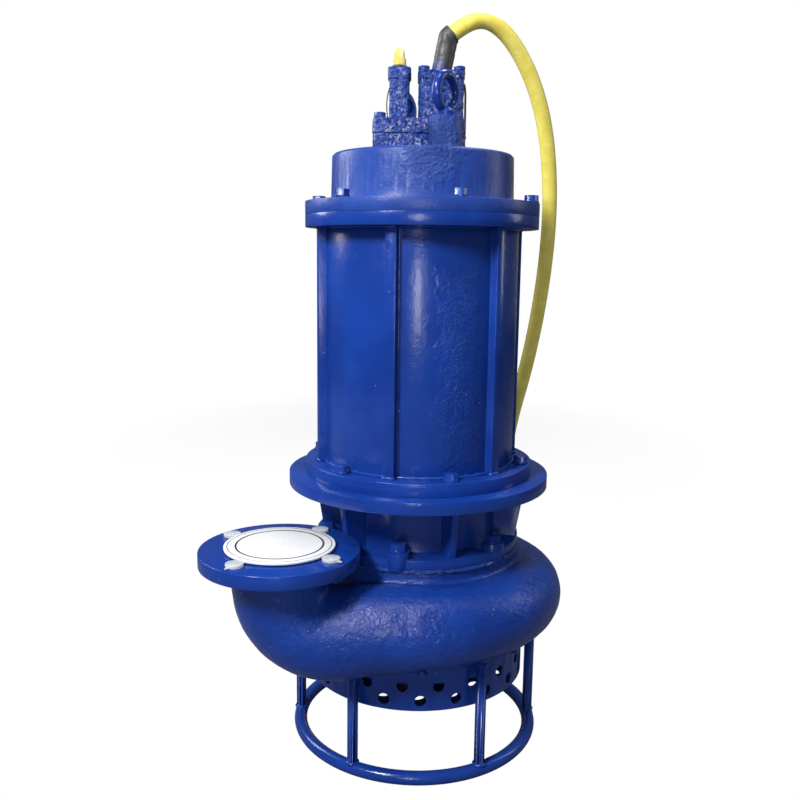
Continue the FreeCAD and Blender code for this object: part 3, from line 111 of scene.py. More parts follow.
# %% Grey values
def where(material):
    return put(material, "TexCoord").outputs["Object"]


def noise(material, spot, scale, detail=2.0, rough=0.5):
    made = put(material, "TexNoise", Vector=spot, Scale=scale, Detail=detail, Roughness=rough)
    return made.outputs["Fac"]


def ramp(material, value, low, high, start=0.0, end=1.0):
    """Stretch a grey value so that low becomes start and high becomes end."""
    made = put(material, "MapRange", Value=value, From_Min=low, From_Max=high, To_Min=start, To_Max=end)
    return made.outputs["Result"]


def combine(material, kind, first, second):
    made = material.node_tree.nodes.new("ShaderNodeMath")
    made.operation = kind
    for socket, value in zip(made.inputs, (first, second)):
        feed(material, value, socket)
    return made.outputs[0]


# %% [markdown]
# A grey value does one of two things in the end: it blends two colours, or it is a height that
# bends the surface's normal. The main shader then takes the result.

# %% Colours, heights and the main shader
def mix(material, share, first, second):
    """Blend two colours by a grey value."""
    made = material.node_tree.nodes.new("ShaderNodeMix")
    made.data_type = "RGBA"
    feed(material, share, made.inputs["Factor"])
    colours = [s for s in made.inputs if s.type == "RGBA"]
    for socket, value in zip(colours, (first, second)):
        feed(material, value, socket)
    return [s for s in made.outputs if s.type == "RGBA"][0]


def bump(material, height, distance, under=None):
    made = put(material, "Bump", Height=height, Distance=distance, Strength=1.0)
    if under is not None:
        feed(material, under, made.inputs["Normal"])
    return made.outputs["Normal"]


def shader(material):
    return material.node_tree.nodes["Principled BSDF"]


def link(material, output, word):
    feed(material, output, shader(material).inputs[word])


def settings(material, **values):
    for word, value in values.items():
        link(material, value, word.replace("_", " "))


# %% [markdown]
# The whole pump is sprayed with one thick royal blue enamel. Its recipe starts with the colour:
# a cloudy blend of two blues, a paler film, and a few specks of dust that settled while the paint
# was wet. At a low share the paler film is dust. On the dome and the rough castings its share is
# high, and there it is a painted sheen.

# %% Colour of the enamel
BLUE = (0.0018, 0.037, 0.285, 1)
BLUE_DEEP = (0.001, 0.024, 0.205, 1)
BLUE_DUST_AND_SHEEN = (0.040, 0.090, 0.34, 1)
SPECK = (0.55, 0.62, 0.78, 1)


def enamel_colour(paint, spot, dust_and_sheen_share):
    tone = mix(paint, ramp(paint, noise(paint, spot, 9, 3), 0.38, 0.66), BLUE_DEEP, BLUE)
    # The paler film is dust at a low share and a painted sheen at a high one.
    pale_film = noise(paint, spot, 4.5, 5, 0.62)
    tone = mix(paint, ramp(paint, pale_film, 0.50, 0.78, dust_and_sheen_share * 0.3, dust_and_sheen_share), tone, BLUE_DUST_AND_SHEEN)
    cells = put(paint, "TexVoronoi", Vector=spot, Scale=95.0)
    near = ramp(paint, cells.outputs["Distance"], 0.055, 0.035)
    rare = ramp(paint, noise(paint, spot, 23, 1), 0.60, 0.64)
    return mix(paint, combine(paint, "MULTIPLY", near, rare), tone, SPECK)


# %% [markdown]
# On the dome and on the casing the enamel is wrinkled in a few upright bands, where it was put
# on too thick. A band is a mask: it fades out beside its middle line and past its two ends, its
# borders are made ragged by noise, and it ends where the surface turns away from the front.

# %% Wrinkled bands
RAGGED = 14 * MM
FADE = 12 * MM


def band(paint, spot, across, half, low, high):
    """A ragged upright band on the front: half is half its width, low and high are its ends."""
    ragged = ramp(paint, noise(paint, spot, 38, 3, 0.7), 0.2, 0.8, -RAGGED, RAGGED)
    parts = put(paint, "SeparateXYZ", Vector=spot)
    beside = combine(paint, "ABSOLUTE", combine(paint, "SUBTRACT", parts.outputs["X"], across), 0)
    inside = ramp(paint, combine(paint, "ADD", beside, ragged), half + FADE, half - FADE)
    level = combine(paint, "ADD", parts.outputs["Z"], ragged)
    upper = ramp(paint, level, high + FADE, high - FADE)
    lower = ramp(paint, level, low - FADE, low + FADE)
    front = ramp(paint, parts.outputs["Y"], 0.0, -0.02)
    return combine(paint, "MULTIPLY", combine(paint, "MULTIPLY", inside, front),
                   combine(paint, "MULTIPLY", upper, lower))


# %% [markdown]
# On machined faces the enamel lies smooth, with a faint orange peel. On castings the sand's grain
# shows through, and the terminal box is so rough that each lump throws its own highlight. Five
# strengths of one recipe give all of these. Each stacks three bumps, from fine to coarse, and
# lays a thin clear coat over them for the sharp part of the shine.

# %% Five enamels
def enamel(name, peel, grain, lumps, roughness, bands=(), dust_and_sheen_share=0.4, shine=0.08):
    """Peel, grain and lumps are heights in millimetres. A band ends with its own height."""
    paint = new_material(name)
    spot = where(paint)
    link(paint, enamel_colour(paint, spot, dust_and_sheen_share), "Base Color")
    wear = noise(paint, spot, 30, 4, 0.6)
    link(paint, ramp(paint, wear, 0.3, 0.75, roughness - 0.05, roughness + 0.10), "Roughness")
    normal = bump(paint, noise(paint, spot, 700, 1), peel * MM)
    normal = bump(paint, noise(paint, spot, 330, 3, 0.6), grain * MM, under=normal)
    normal = bump(paint, noise(paint, spot, 95, 2, 0.55), lumps * MM, under=normal)
    wrinkles = noise(paint, spot, 210, 4, 0.62)
    for *place, height in bands:
        shown = combine(paint, "MULTIPLY", band(paint, spot, *place), wrinkles)
        normal = bump(paint, shown, height * MM, under=normal)
    link(paint, normal, "Normal")
    settings(paint, Specular_IOR_Level=0.34, Coat_Weight=shine, Coat_Roughness=0.05)
    return paint


DOME_BANDS = [(0.010, 0.030, 0.765, 0.83, 3.6), (0.012, 0.014, 0.80, 0.90, 4.0)]
CASING_BANDS = [(0.046, 0.018, 0.40, 0.66, 2.2)]

smooth_enamel = enamel("smooth_enamel", 0.10, 0.10, 0.25, 0.20)
cast_enamel = enamel("cast_enamel", 0.14, 1.0, 1.5, 0.16)
# On the rough castings and the dome the paler film is raised to a painted sheen that lightens the blue.
rough_enamel = enamel("rough_enamel", 0.2, 3.6, 7.5, 0.20, dust_and_sheen_share=0.8, shine=0.45)
dome_enamel = enamel("dome_enamel", 0.10, 0.25, 0.4, 0.34, DOME_BANDS, dust_and_sheen_share=0.9, shine=0.0)
casing_enamel = enamel("casing_enamel", 0.10, 0.10, 0.3, 0.20, CASING_BANDS)
print("five strengths of one enamel")

# %% [markdown]
# The other finishes need less. Bare metals are few: the shaft, the fasteners inside and the
# wearing parts that the slurry polishes. Rubber is nearly black and matt, the transit cover is a
# plain white moulding, and its caps are milky. One recipe makes them all, and a table lists its
# amounts: two colours, roughness, how metallic it is, and the size and height of its grain.

# %% Metals, rubber and plastics
def plain_finish(name, colour, darker, roughness, metallic, grain_scale, grain_height):
    made = new_material(name)
    spot = where(made)
    patchy = noise(made, spot, 40, 4, 0.6)
    link(made, mix(made, ramp(made, patchy, 0.35, 0.7), (*darker, 1), (*colour, 1)), "Base Color")
    link(made, ramp(made, patchy, 0.3, 0.7, roughness + 0.08, roughness - 0.05), "Roughness")
    link(made, bump(made, noise(made, spot, grain_scale, 3, 0.6), grain_height * MM), "Normal")
    settings(made, Metallic=metallic)
    return made


finishes = {name: plain_finish(name, *amounts) for name, *amounts in (
    ("wear_iron", (0.17, 0.17, 0.18), (0.08, 0.075, 0.07), 0.5, 0.8, 260, 0.5),
    ("bare_iron", (0.2, 0.2, 0.21), (0.11, 0.11, 0.115), 0.45, 0.9, 300, 0.3),
    ("stainless", (0.55, 0.55, 0.56), (0.42, 0.42, 0.43), 0.3, 1, 900, 0.04),
    ("bright_steel", (0.5, 0.51, 0.53), (0.4, 0.41, 0.43), 0.25, 1, 900, 0.03),
    ("bearing_steel", (0.62, 0.63, 0.65), (0.55, 0.56, 0.58), 0.12, 1, 900, 0.01),
    ("seal_carbide", (0.06, 0.06, 0.065), (0.04, 0.04, 0.045), 0.3, 0.1, 800, 0.02),
    ("core_laminations", (0.2, 0.2, 0.21), (0.13, 0.13, 0.14), 0.5, 0.9, 700, 0.1),
    ("copper_winding", (0.55, 0.22, 0.08), (0.4, 0.14, 0.05), 0.35, 0.8, 500, 0.4),
    ("cast_aluminium", (0.6, 0.61, 0.63), (0.5, 0.51, 0.53), 0.4, 1, 300, 0.15),
    ("black_rubber", (0.028, 0.03, 0.034), (0.015, 0.016, 0.02), 0.42, 0, 500, 0.15),
    ("white_plastic", (0.80, 0.81, 0.82), (0.74, 0.75, 0.76), 0.32, 0, 600, 0.03),
    ("clear_plastic", (0.74, 0.77, 0.80), (0.62, 0.66, 0.70), 0.25, 0, 600, 0.05),
)}
settings(finishes["clear_plastic"], Transmission_Weight=0.35, IOR=1.45)
finishes["blue_enamel"] = smooth_enamel
print(len(finishes), "finishes")

# %% [markdown]
# The power cable's sheath is a smooth yellow with a soft shine. The signal cable is duller, and
# its thick outer jacket is duller still. Both use the same recipe with more dirt and a painted
# shade, which is a darker copy of the yellow for pieces that catch more lamp light.

# %% Yellow sheaths
PALE_YELLOW = (0.95, 0.83, 0.17)
DEEP_YELLOW = (0.84, 0.70, 0.10)
DIRT = (0.50, 0.38, 0.05, 1)


def sheath(name, grime, dull, painted_shade):
    """Faint scuffs, specks of dirt and a wrinkled skin. Dull spreads the dirt and the gloss. The painted
    shade darkens the whole yellow.
    """
    made = new_material(name)
    spot = where(made)
    scuffs = noise(made, spot, 55, 5, 0.65)
    red, green, blue = DEEP_YELLOW
    tone = mix(made, ramp(made, scuffs, 0.35, 0.62), (red * painted_shade, green * painted_shade, blue, 1),
               (*(part * painted_shade for part in PALE_YELLOW), 1))
    dirt = noise(made, spot, 140, 3, 0.7)
    tone = mix(made, ramp(made, dirt, 0.66 - dull, 0.76 - dull, 0, grime), tone, DIRT)
    link(made, tone, "Base Color")
    link(made, ramp(made, scuffs, 0.3, 0.7, 0.42 + dull, 0.30 + dull), "Roughness")
    link(made, bump(made, noise(made, spot, 260, 3), 0.25 * MM), "Normal")
    return made


finishes["yellow_sheath"] = sheath("yellow_sheath", 0.5, 0.0, 1.0)
# The jacket and the signal cable get a painted shade: their yellow is darkened because they catch more lamp
# light.
finishes["dirty_shaded_sheath"] = sheath("dirty_shaded_sheath", 0.80, 0.12, 0.60)
finishes["signal_sheath"] = sheath("signal_sheath", 0.65, 0.06, 0.72)
for word in ("dirty_shaded_sheath", "signal_sheath"):
    settings(finishes[word], Specular_IOR_Level=0.15)
print("three yellow sheaths")

# %% [markdown]
# The record says which finish each solid has, so every solid is dressed before anything else.
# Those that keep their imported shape, such as the impeller and the shaft, need no more.

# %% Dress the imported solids
def dress(piece, material):
    piece.data.materials.clear()
    piece.data.materials.append(material)


for entry in frame["record"]["subparts"]:
    dress(nodes[entry["node"]], finishes[entry["material_slot"]])
print(len(nodes), "solids dressed")

# %% [markdown]
# Modelling in a script is selecting, acting and applying. These helpers leave one piece selected
# and active, and apply each modifier at once, so that what is seen is in the mesh.

# %% Selecting and applying
def clear_selection():
    if bpy.context.object and bpy.context.object.mode != "OBJECT":
        bpy.ops.object.mode_set(mode="OBJECT")
    bpy.ops.object.select_all(action="DESELECT")


def pick_only(piece):
    clear_selection()
    piece.select_set(True)
    bpy.context.view_layer.objects.active = piece


def finish_with(piece, kind, **values):
    """Add a modifier, set it and apply it."""
    pick_only(piece)
    made = piece.modifiers.new(kind.lower(), kind)
    for word, value in values.items():
        setattr(made, word, value)
    bpy.ops.object.modifier_apply(modifier=made.name)
    return piece


def edit_mesh(piece, action, **values):
    """Run one mesh operator on the whole piece."""
    pick_only(piece)
    bpy.ops.object.mode_set(mode="EDIT")
    bpy.ops.mesh.select_all(action="SELECT")
    action(**values)
    bpy.ops.object.mode_set(mode="OBJECT")
    return piece


# %% [markdown]
# A finished piece has its place in its mesh, a finish, and a body that it moves with. It may also
# stand for a imported solid, which is then hidden. Pieces of one kind are joined.

# %% Settling and joining
def settle(piece, material, *replaced, body="root", smooth=35):
    """Put a finished piece's place into its mesh, dress it and let it ride on its body."""
    pick_only(piece)
    bpy.ops.object.transform_apply(location=True, rotation=True, scale=True)
    bpy.ops.object.shade_smooth_by_angle(angle=math.radians(smooth))
    dress(piece, material)
    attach(piece, body)
    if replaced:
        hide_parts(*replaced)


def join(name, pieces):
    clear_selection()
    for piece in pieces:
        piece.select_set(True)
    bpy.context.view_layer.objects.active = pieces[0]
    bpy.ops.object.join()
    joined = bpy.context.object
    joined.name = name
    return joined


# %% [markdown]
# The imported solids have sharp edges, and paint never leaves one. A rounded copy of a solid's mesh
# takes its place: its doubled points are merged, flat areas are cleaned, and a bevel rounds each
# edge. The copy is new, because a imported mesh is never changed.

# %% Rounded copies
SAME_SPOT = 0.01 * MM
FLAT = math.radians(0.5)


def merged_copy(name, node):
    """A copy of a solid's mesh as one closed skin."""
    piece = nodes[node].copy()
    piece.data = nodes[node].data.copy()
    piece.name = name
    piece.hide_render = False
    bpy.context.collection.objects.link(piece)
    return edit_mesh(piece, bpy.ops.mesh.remove_doubles, threshold=SAME_SPOT)


def round_edges(piece, width, segments=2, angle=30):
    return finish_with(piece, "BEVEL", width=width * MM, segments=segments, limit_method="ANGLE",
                       angle_limit=math.radians(angle), harden_normals=False)


def rounded(piece, width, angle=30):
    """Clean the flat areas of a copy, then round its edges."""
    edit_mesh(piece, bpy.ops.mesh.dissolve_limited, angle_limit=FLAT)
    return round_edges(piece, width, angle=angle)


# %% [markdown]
# What is cast gets another treatment. A voxel remesh melts its edges together as sand does, and a
# cloudy displacement gives the lumps of its skin. Where only a part of a solid is cast, it is cut
# at a level first.

# %% Cast copies
def lumpy(piece, height, size):
    """Push the surface in and out by a cloudy pattern. Height and size are millimetres."""
    cloud = bpy.data.textures.new(piece.name + "_lumps", "CLOUDS")
    cloud.noise_scale = size * MM
    cloud.noise_depth = 2
    return finish_with(piece, "DISPLACE", texture=cloud, strength=height * MM, mid_level=0.5,
                       texture_coords="LOCAL")


def cast(piece, voxel, smoothing, height, size):
    """Melt a copy's edges together and give it the lumps of a sand casting."""
    finish_with(piece, "REMESH", mode="VOXEL", voxel_size=voxel * MM, use_smooth_shade=True)
    finish_with(piece, "SMOOTH", factor=0.5, iterations=smoothing)
    return lumpy(piece, height, size)


def keep_part(piece, level, above):
    """Cut a piece at a level and keep what lies above or below it, closed again."""
    return edit_mesh(piece, bpy.ops.mesh.bisect, plane_co=(0, 0, level * MM), plane_no=(0, 0, 1),
                     use_fill=True, clear_inner=above, clear_outer=not above)


# %% [markdown]
# Weld is added, not cut from the solid: a ring that runs all the way round a seam, or a short
# lump at one spot. Both are made lumpy, since no welder's hand is even.

# %% Beads and lumps
def on_circle(radius, turn, level, k, copies):
    """A spot round the pump. Angles count from the front towards the right-hand side."""
    heading = math.radians(turn + 360 / copies * k - 90)
    return Vector((radius * math.cos(heading), radius * math.sin(heading), level)) * MM, heading


def bead(name, radius, level, bar):
    """A bead that runs all the way round the pump's axis, a little uneven."""
    clear_selection()
    bpy.ops.mesh.primitive_torus_add(major_radius=radius * MM, minor_radius=bar * MM,
                                     major_segments=260, minor_segments=8,
                                     location=(0, 0, level * MM))
    made = bpy.context.object
    made.name = name
    bpy.ops.object.transform_apply(location=True)
    return lumpy(made, bar * 1.1, 5)


def lump(spot, heading, along, length, up):
    """A short lump of weld or casting at a spot, in millimetres across each way."""
    clear_selection()
    bpy.ops.mesh.primitive_uv_sphere_add(segments=20, ring_count=12, radius=1, location=spot,
                                         rotation=(0, 0, heading))
    made = bpy.context.object
    made.scale = Vector((along, length, up)) * MM
    bpy.ops.object.transform_apply(scale=True, location=True, rotation=True)
    return lumpy(made, min(along, up) * 0.6, 4)


# %% [markdown]
# The motor casing is a rolled tube with six straight ribs and a flange ring welded to each end.
# Their crisp edges only lose their sharpness under the paint.

# %% Motor casing
settle(rounded(merged_copy("casing_tube", "motor_casing"), 1.4), casing_enamel, "motor_casing")
for ring in ("lower_casing_flange", "upper_casing_flange"):
    settle(rounded(merged_copy(ring + "_rounded", ring), 1.2), smooth_enamel, ring)
print("motor casing and two rings")

# %% [markdown]
# A thin bead shows where the tube meets its rings, and a lump of weld holds each end of a rib.
# The levels come from the rings' own boxes, so the welds sit on them.

# %% Welds of the motor casing
LOWER_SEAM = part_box("lower_casing_flange")[1][2] / MM
UPPER_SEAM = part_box("upper_casing_flange")[0][2] / MM
CASING_RADIUS = 130
RIB_RADIUS = 139
RIB_TURN = -16.5
RIBS = 6

welds = [bead("casing_bead", CASING_RADIUS + 0.8, LOWER_SEAM + 0.8, 2.2),
         bead("casing_bead_high", CASING_RADIUS + 0.5, UPPER_SEAM - 0.5, 1.8)]
for k in range(RIBS):
    for level, across in ((LOWER_SEAM + 1.2, (4.5, 9.5, 3.0)), (UPPER_SEAM - 1.2, (4.0, 8.5, 2.4))):
        spot, heading = on_circle(RIB_RADIUS, RIB_TURN, level, k, RIBS)
        welds.append(lump(spot, heading, *across))
settle(join("casing_welds", welds), smooth_enamel, smooth=60)
print(len(welds), "beads and lumps of weld")

# %% [markdown]
# The top cover is a turned dome on a flange. Its two lifting bosses are as cast. The oil chamber
# below the motor is one casting with six gussets, and its rounded edges come from a bevel.

# %% Top cover and oil chamber
settle(rounded(merged_copy("top_cover_rounded", "top_cover"), 1.6), dome_enamel, "top_cover")
settle(rounded(merged_copy("oil_chamber_rounded", "oil_chamber"), 1.6), smooth_enamel, "oil_chamber")
print("top cover and oil chamber")

# %% [markdown]
# The volute is the largest casting. Its flange is machined, so that part keeps crisp edges, and
# the belly below gets the melted look of a casting. The two halves meet under the flange. Paint
# has gathered in the seam where the oil chamber sits on the volute.

# %% Volute
FLANGE_BOTTOM = 295.4
CORE_RADIUS = 141
SPIGOT_DROP = 20
CORE_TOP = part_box("oil_chamber")[0][2] / MM + SPIGOT_DROP

belly = keep_part(merged_copy("volute_belly", "volute_casing"), FLANGE_BOTTOM, above=False)
flange = keep_part(merged_copy("outlet_flange", "volute_casing"), FLANGE_BOTTOM, above=True)
settle(cast(belly, 2.9, 3, 1.1, 14), cast_enamel, "volute_casing", smooth=70)
settle(rounded(flange, 1.1), smooth_enamel)
settle(bead("volute_seam", CORE_RADIUS + 0.2, CORE_TOP, 2.6), rough_enamel)
print("volute", len(belly.data.polygons), "faces")

# %% [markdown]
# The terminal box, its glands and the clamp are rough castings. Their skin is lumpy enough that
# each lump throws its own highlight, so the lumps are real geometry and not only bump.

# %% Terminal box and glands
for name, voxel, smoothing, height in (
    ("terminal_box_base", 1.15, 3, 2.0), ("terminal_box_lid", 1.15, 3, 2.0),
    ("power_gland", 1.1, 3, 2.2), ("power_gland_plate", 1.0, 2, 1.2),
    ("signal_gland", 0.9, 3, 1.8), ("signal_clamp", 0.9, 2, 1.2),
):
    piece = cast(merged_copy(name + "_cast", name), voxel, smoothing, height, 7)
    settle(piece, rough_enamel, name, smooth=80)
print("six rough castings")

# %% [markdown]
# The fasteners were painted over with the rest. Enamel rounds their corners, so each group of
# bolts is a rounded copy as well. The basket is thin sheet, and gets a small rounding.

# %% Fasteners, basket and suction cover
for name, width in (
    ("oil_chamber_bolts", 1.0), ("lower_flange_bolts", 0.9), ("top_cover_bolts", 0.9),
    ("terminal_box_bolts", 0.8), ("power_gland_bolts", 0.7), ("strainer_bolts", 0.7),
    ("suction_cover_bolts", 0.8), ("oil_plug", 0.8), ("strainer_basket", 0.5), ("suction_cover", 1.0),
):
    settle(rounded(merged_copy(name + "_rounded", name), width, angle=25), smooth_enamel, name)
print("ten rounded groups")

# %% [markdown]
# The stand is round bar: a ring with six uprights. Each upright is welded to the ring below and
# to the casting above, and the welds make it look made and not drawn.

# %% Stand
RING_RADIUS = 165.7
LEG_TURN = 30
LEGS = 6

settle(merged_copy("stand_ring_skin", "stand_ring"), smooth_enamel, "stand_ring", smooth=80)
settle(merged_copy("stand_legs_skin", "stand_legs"), smooth_enamel, "stand_legs", smooth=50)
stand_welds = []
for k in range(LEGS):
    for level, wide in ((17.5, 9.2), (156.5, 9.0)):
        spot, heading = on_circle(RING_RADIUS, LEG_TURN, level, k, LEGS)
        stand_welds.append(lump(spot, heading, wide, wide, 3.2))
settle(join("stand_welds", stand_welds), smooth_enamel, smooth=60)
print(len(stand_welds), "welds on the stand")

# %% [markdown]
# The lifting eyes are forged, so they are smooth but never quite round. The rubber sleeve grips
# the power cable and is creased where it bends.

# %% Lifting eyes and sleeve
eyes = cast(merged_copy("lifting_eyes_forged", "lifting_eyes"), 0.9, 2, 0.9, 9)
settle(eyes, smooth_enamel, "lifting_eyes", smooth=80)
sleeve_rubber = plain_finish("sleeve_rubber", (0.075, 0.070, 0.072), (0.035, 0.034, 0.038), 0.4, 0, 300, 0.4)
sleeve = cast(merged_copy("cable_sleeve_creased", "cable_sleeve"), 0.9, 3, 1.2, 9)
settle(sleeve, sleeve_rubber, "cable_sleeve", smooth=80)
print("eyes and sleeve")

# %% [markdown]
# The sprayer went round the sleeve and not over it, so overspray tints its foot blue. The share
# of blue falls with height, and noise makes its border ragged, as in the bands of the enamel.

# %% Overspray on the sleeve
SLEEVE_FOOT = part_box("power_gland_plate")[1][2]

spot = where(sleeve_rubber)
ragged = ramp(sleeve_rubber, noise(sleeve_rubber, spot, 60, 4, 0.7), 0.3, 0.7, -RAGGED, RAGGED)
height = put(sleeve_rubber, "SeparateXYZ", Vector=spot).outputs["Z"]
level = combine(sleeve_rubber, "ADD", height, ragged)
spray = ramp(sleeve_rubber, level, SLEEVE_FOOT + 0.012, SLEEVE_FOOT - 0.004, 0, 0.75)
bare = shader(sleeve_rubber).inputs["Base Color"].links[0].from_socket
link(sleeve_rubber, mix(sleeve_rubber, spray, bare, BLUE), "Base Color")
print("overspray up to", round(SLEEVE_FOOT + 0.012, 3), "m")

# %% [markdown]
# Where the signal cable comes out, a dark rubber ring sits on the clamp, and the cable's thick
# outer jacket stands out of it. The jacket leans back the way the cable leaves.

# %% Signal cable's jacket
SIGNAL_LEAN = math.radians(48)
JACKET_FOOT = Vector((-32, -14, 909)) * MM
GROMMET_SPOT = Vector((-32, -13, 911.4)) * MM
signal_way = Vector((0, math.sin(SIGNAL_LEAN), math.cos(SIGNAL_LEAN)))

clear_selection()
bpy.ops.mesh.primitive_cylinder_add(vertices=48, radius=8.3 * MM, depth=21 * MM,
                                    location=JACKET_FOOT + signal_way * 9.5 * MM,
                                    rotation=(-SIGNAL_LEAN, 0, 0))
jacket = bpy.context.object
jacket.name = "signal_jacket"
bpy.ops.object.transform_apply(location=True, rotation=True)
# The jacket's yellow is darkened by a painted shade, with more dirt.
settle(round_edges(jacket, 1.6, 3), finishes["dirty_shaded_sheath"], "signal_grommet")

clear_selection()
bpy.ops.mesh.primitive_torus_add(major_radius=8.6 * MM, minor_radius=2.2 * MM, major_segments=48,
                                 minor_segments=12, location=GROMMET_SPOT)
grommet = bpy.context.object
grommet.name = "signal_grommet_ring"
settle(grommet, finishes["black_rubber"], smooth=80)
print("jacket and ring")

# %% [markdown]
# For transit a white disc covers the outlet and a milky cap sits in each bolt hole. All of it
# lifts off together, so it rides on a body of its own.

# %% Transit cover
for name, node, width, finish in (
    ("outlet_cover_disc", "outlet_cover", 0.8, "white_plastic"),
    ("outlet_cover_caps_round", "outlet_cover_caps", 0.9, "clear_plastic"),
):
    settle(rounded(merged_copy(name, node), width), finishes[finish], node, body="transit_cover")
print("disc and caps")

# %% [markdown]
# The disc carries two thin printed rings, and its middle is left bare. Ink has no thickness to
# speak of, so each ring is a flattened torus that lies on the disc's face.

# %% Printed rings
low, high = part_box("outlet_cover")
cover_centre = Vector(((low[0] + high[0]) / 2, (low[1] + high[1]) / 2, high[2]))
ink = plain_finish("ring_ink", (0.015, 0.016, 0.022), (0.01, 0.01, 0.014), 0.4, 0, 600, 0.02)
for name, radius, width in (("cover_ring_wide", 54, 1.25), ("cover_ring_fine", 64.3, 0.55)):
    clear_selection()
    bpy.ops.mesh.primitive_torus_add(major_radius=radius * MM, minor_radius=width * MM,
                                     major_segments=160, minor_segments=8, location=cover_centre)
    ring = bpy.context.object
    ring.name = name
    ring.scale.z = 0.25
    settle(ring, ink, body="transit_cover", smooth=80)
print("two printed rings")

# %% [markdown]
# A cable is one smooth line with a round section. A spline of order three passes just inside the
# route's corners, so the hanging part bends as a stiff cable does.

# %% A smooth round line
def smooth_line(name, spots, radius, material):
    """A round bar along a smooth line through the given points, in metres."""
    curve = bpy.data.curves.new(name, "CURVE")
    curve.dimensions = "3D"
    curve.bevel_depth = radius
    curve.bevel_resolution = 5
    curve.resolution_u = 6
    curve.use_fill_caps = True
    line = curve.splines.new("NURBS")
    line.points.add(len(spots) - 1)
    for point, spot in zip(line.points, spots):
        point.co = (*spot, 1)
    line.order_u = 3
    line.use_endpoint_u = True
    piece = bpy.data.objects.new(name, curve)
    bpy.context.collection.objects.link(piece)
    curve.materials.append(material)
    return piece


def line_length(piece):
    """Length of a cable's centreline, read from the line itself."""
    bare = piece.copy()
    bare.data = piece.data.copy()
    bare.data.bevel_depth = 0
    bpy.context.collection.objects.link(bare)
    bpy.context.view_layer.update()
    seen = bare.evaluated_get(bpy.context.evaluated_depsgraph_get())
    mesh = bpy.data.meshes.new_from_object(seen)
    ends = [[mesh.vertices[v].co for v in edge.vertices] for edge in mesh.edges]
    bpy.data.objects.remove(bare)
    return sum((first - second).length for first, second in ends)


# %% [markdown]
# The spare length lies coiled on the floor behind the pump. The coil is wound from its top layer
# down, each layer in or out across its columns, and the turns lie one cable's width apart.

# %% Winding a coil
COIL_CENTRE = Vector((0, 380, 0)) * MM
POINTS_A_TURN = 14


def winding(columns, levels, first_angle, way, turns, last_turns):
    """Points of a coil. Columns are its radii, and way is 1 or -1, against or with the clock."""
    rings = []
    for k, level in enumerate(levels):
        rings += [(radius, level) for radius in (columns[::-1] if k % 2 else columns)]
    shares = [turns] * (len(rings) - 1) + [last_turns]
    spots = []
    for (radius, level), share in zip(rings, shares):
        for _ in range(round(share * POINTS_A_TURN)):
            heading = math.radians(first_angle + way * 360 / POINTS_A_TURN * len(spots))
            arm = Vector((radius * math.cos(heading), radius * math.sin(heading), level))
            spots.append(COIL_CENTRE + arm)
    return spots


# %% [markdown]
# The power cable leaves its sleeve, arches over to the right and hangs down behind the pump. The
# route repeats the points that the solid model uses for the stretch that hangs free.

# %% Power cable
POWER_BAR = 21 * MM
SLEEVE_BEND = Vector((30.61, 0, 952.03)) * MM
SLEEVE_LEAN = math.radians(52)
POWER_HANG = [
    (79, 7, 977), (105, 17, 965), (131, 31, 936), (152, 45, 900), (169, 60, 855), (181, 77, 797),
    (187, 95, 727), (185.5, 114, 650), (178, 131, 570), (166, 149, 492), (151, 168, 420), (143, 188, 345),
    (141, 210, 272), (144, 234, 204), (148, 262, 146), (146, 292, 102), (139, 322, 74),
]
POWER_END = Vector((92, 220, 11.3)) * MM
END_HEADING = math.radians(15)

power_way = Vector((math.sin(SLEEVE_LEAN), 0, math.cos(SLEEVE_LEAN)))
power_start = SLEEVE_BEND + power_way * 7 * MM
route = [power_start, power_start + power_way * 23 * MM] + [Vector(p) * MM for p in POWER_HANG]
columns = [(157.5 + 21 * k) * MM for k in (-1, 0, 1)]
levels = [(10.5 + 21 * k) * MM for k in (2, 1, 0)]
route += winding(columns, levels, -15, 1, 1.0, 0.86)
tail_way = Vector((math.cos(END_HEADING), math.sin(END_HEADING), 0))
route += [POWER_END - tail_way * 22 * MM, POWER_END]
power_cord = smooth_line("power_cord", route, POWER_BAR / 2, finishes["yellow_sheath"])
print("power cord", round(line_length(power_cord), 3), "m")

# %% [markdown]
# The signal cable is thinner. It leans back out of its jacket, so from the front only a stub of
# it shows, and its smaller coil lies inside the other one.

# %% Signal cable
SIGNAL_BAR = 13 * MM
SIGNAL_HANG = [
    (-33, 54, 941), (-35, 90, 926), (-37, 122, 895), (-39, 149, 851), (-41, 172, 794), (-43, 189, 722),
    (-44, 200, 640), (-45, 206, 552), (-47, 210, 462), (-51, 216, 374), (-58, 228, 290), (-68, 243, 212),
    (-79, 262, 146), (-89, 291, 99), (-101, 330, 72),
]
SIGNAL_END = Vector((-54, 434, 7)) * MM

signal_start = JACKET_FOOT + signal_way * 16 * MM
route = [signal_start, signal_start + signal_way * 26 * MM] + [Vector(p) * MM for p in SIGNAL_HANG]
columns = [(97.5 + 13 * k) * MM for k in (1, 0, -1)]
levels = [(6.5 + 13 * k) * MM for k in (4, 3, 2, 1, 0)]
route += winding(columns, levels, 185, -1, 0.93, 0.93)
route += [SIGNAL_END - Vector((14, 0, 0)) * MM, SIGNAL_END]
# The signal cable's yellow is darkened by a painted shade.
signal_cord = smooth_line("signal_cord", route, SIGNAL_BAR / 2, finishes["signal_sheath"])
print("signal cord", round(line_length(signal_cord), 3), "m")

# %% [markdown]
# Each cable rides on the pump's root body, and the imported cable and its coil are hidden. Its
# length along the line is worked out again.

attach(power_cord, "root")
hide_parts("power_cable", "power_cable_coil")
line_length(power_cord)
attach(signal_cord, "root")
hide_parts("signal_cable", "signal_cable_coil")
line_length(signal_cord)

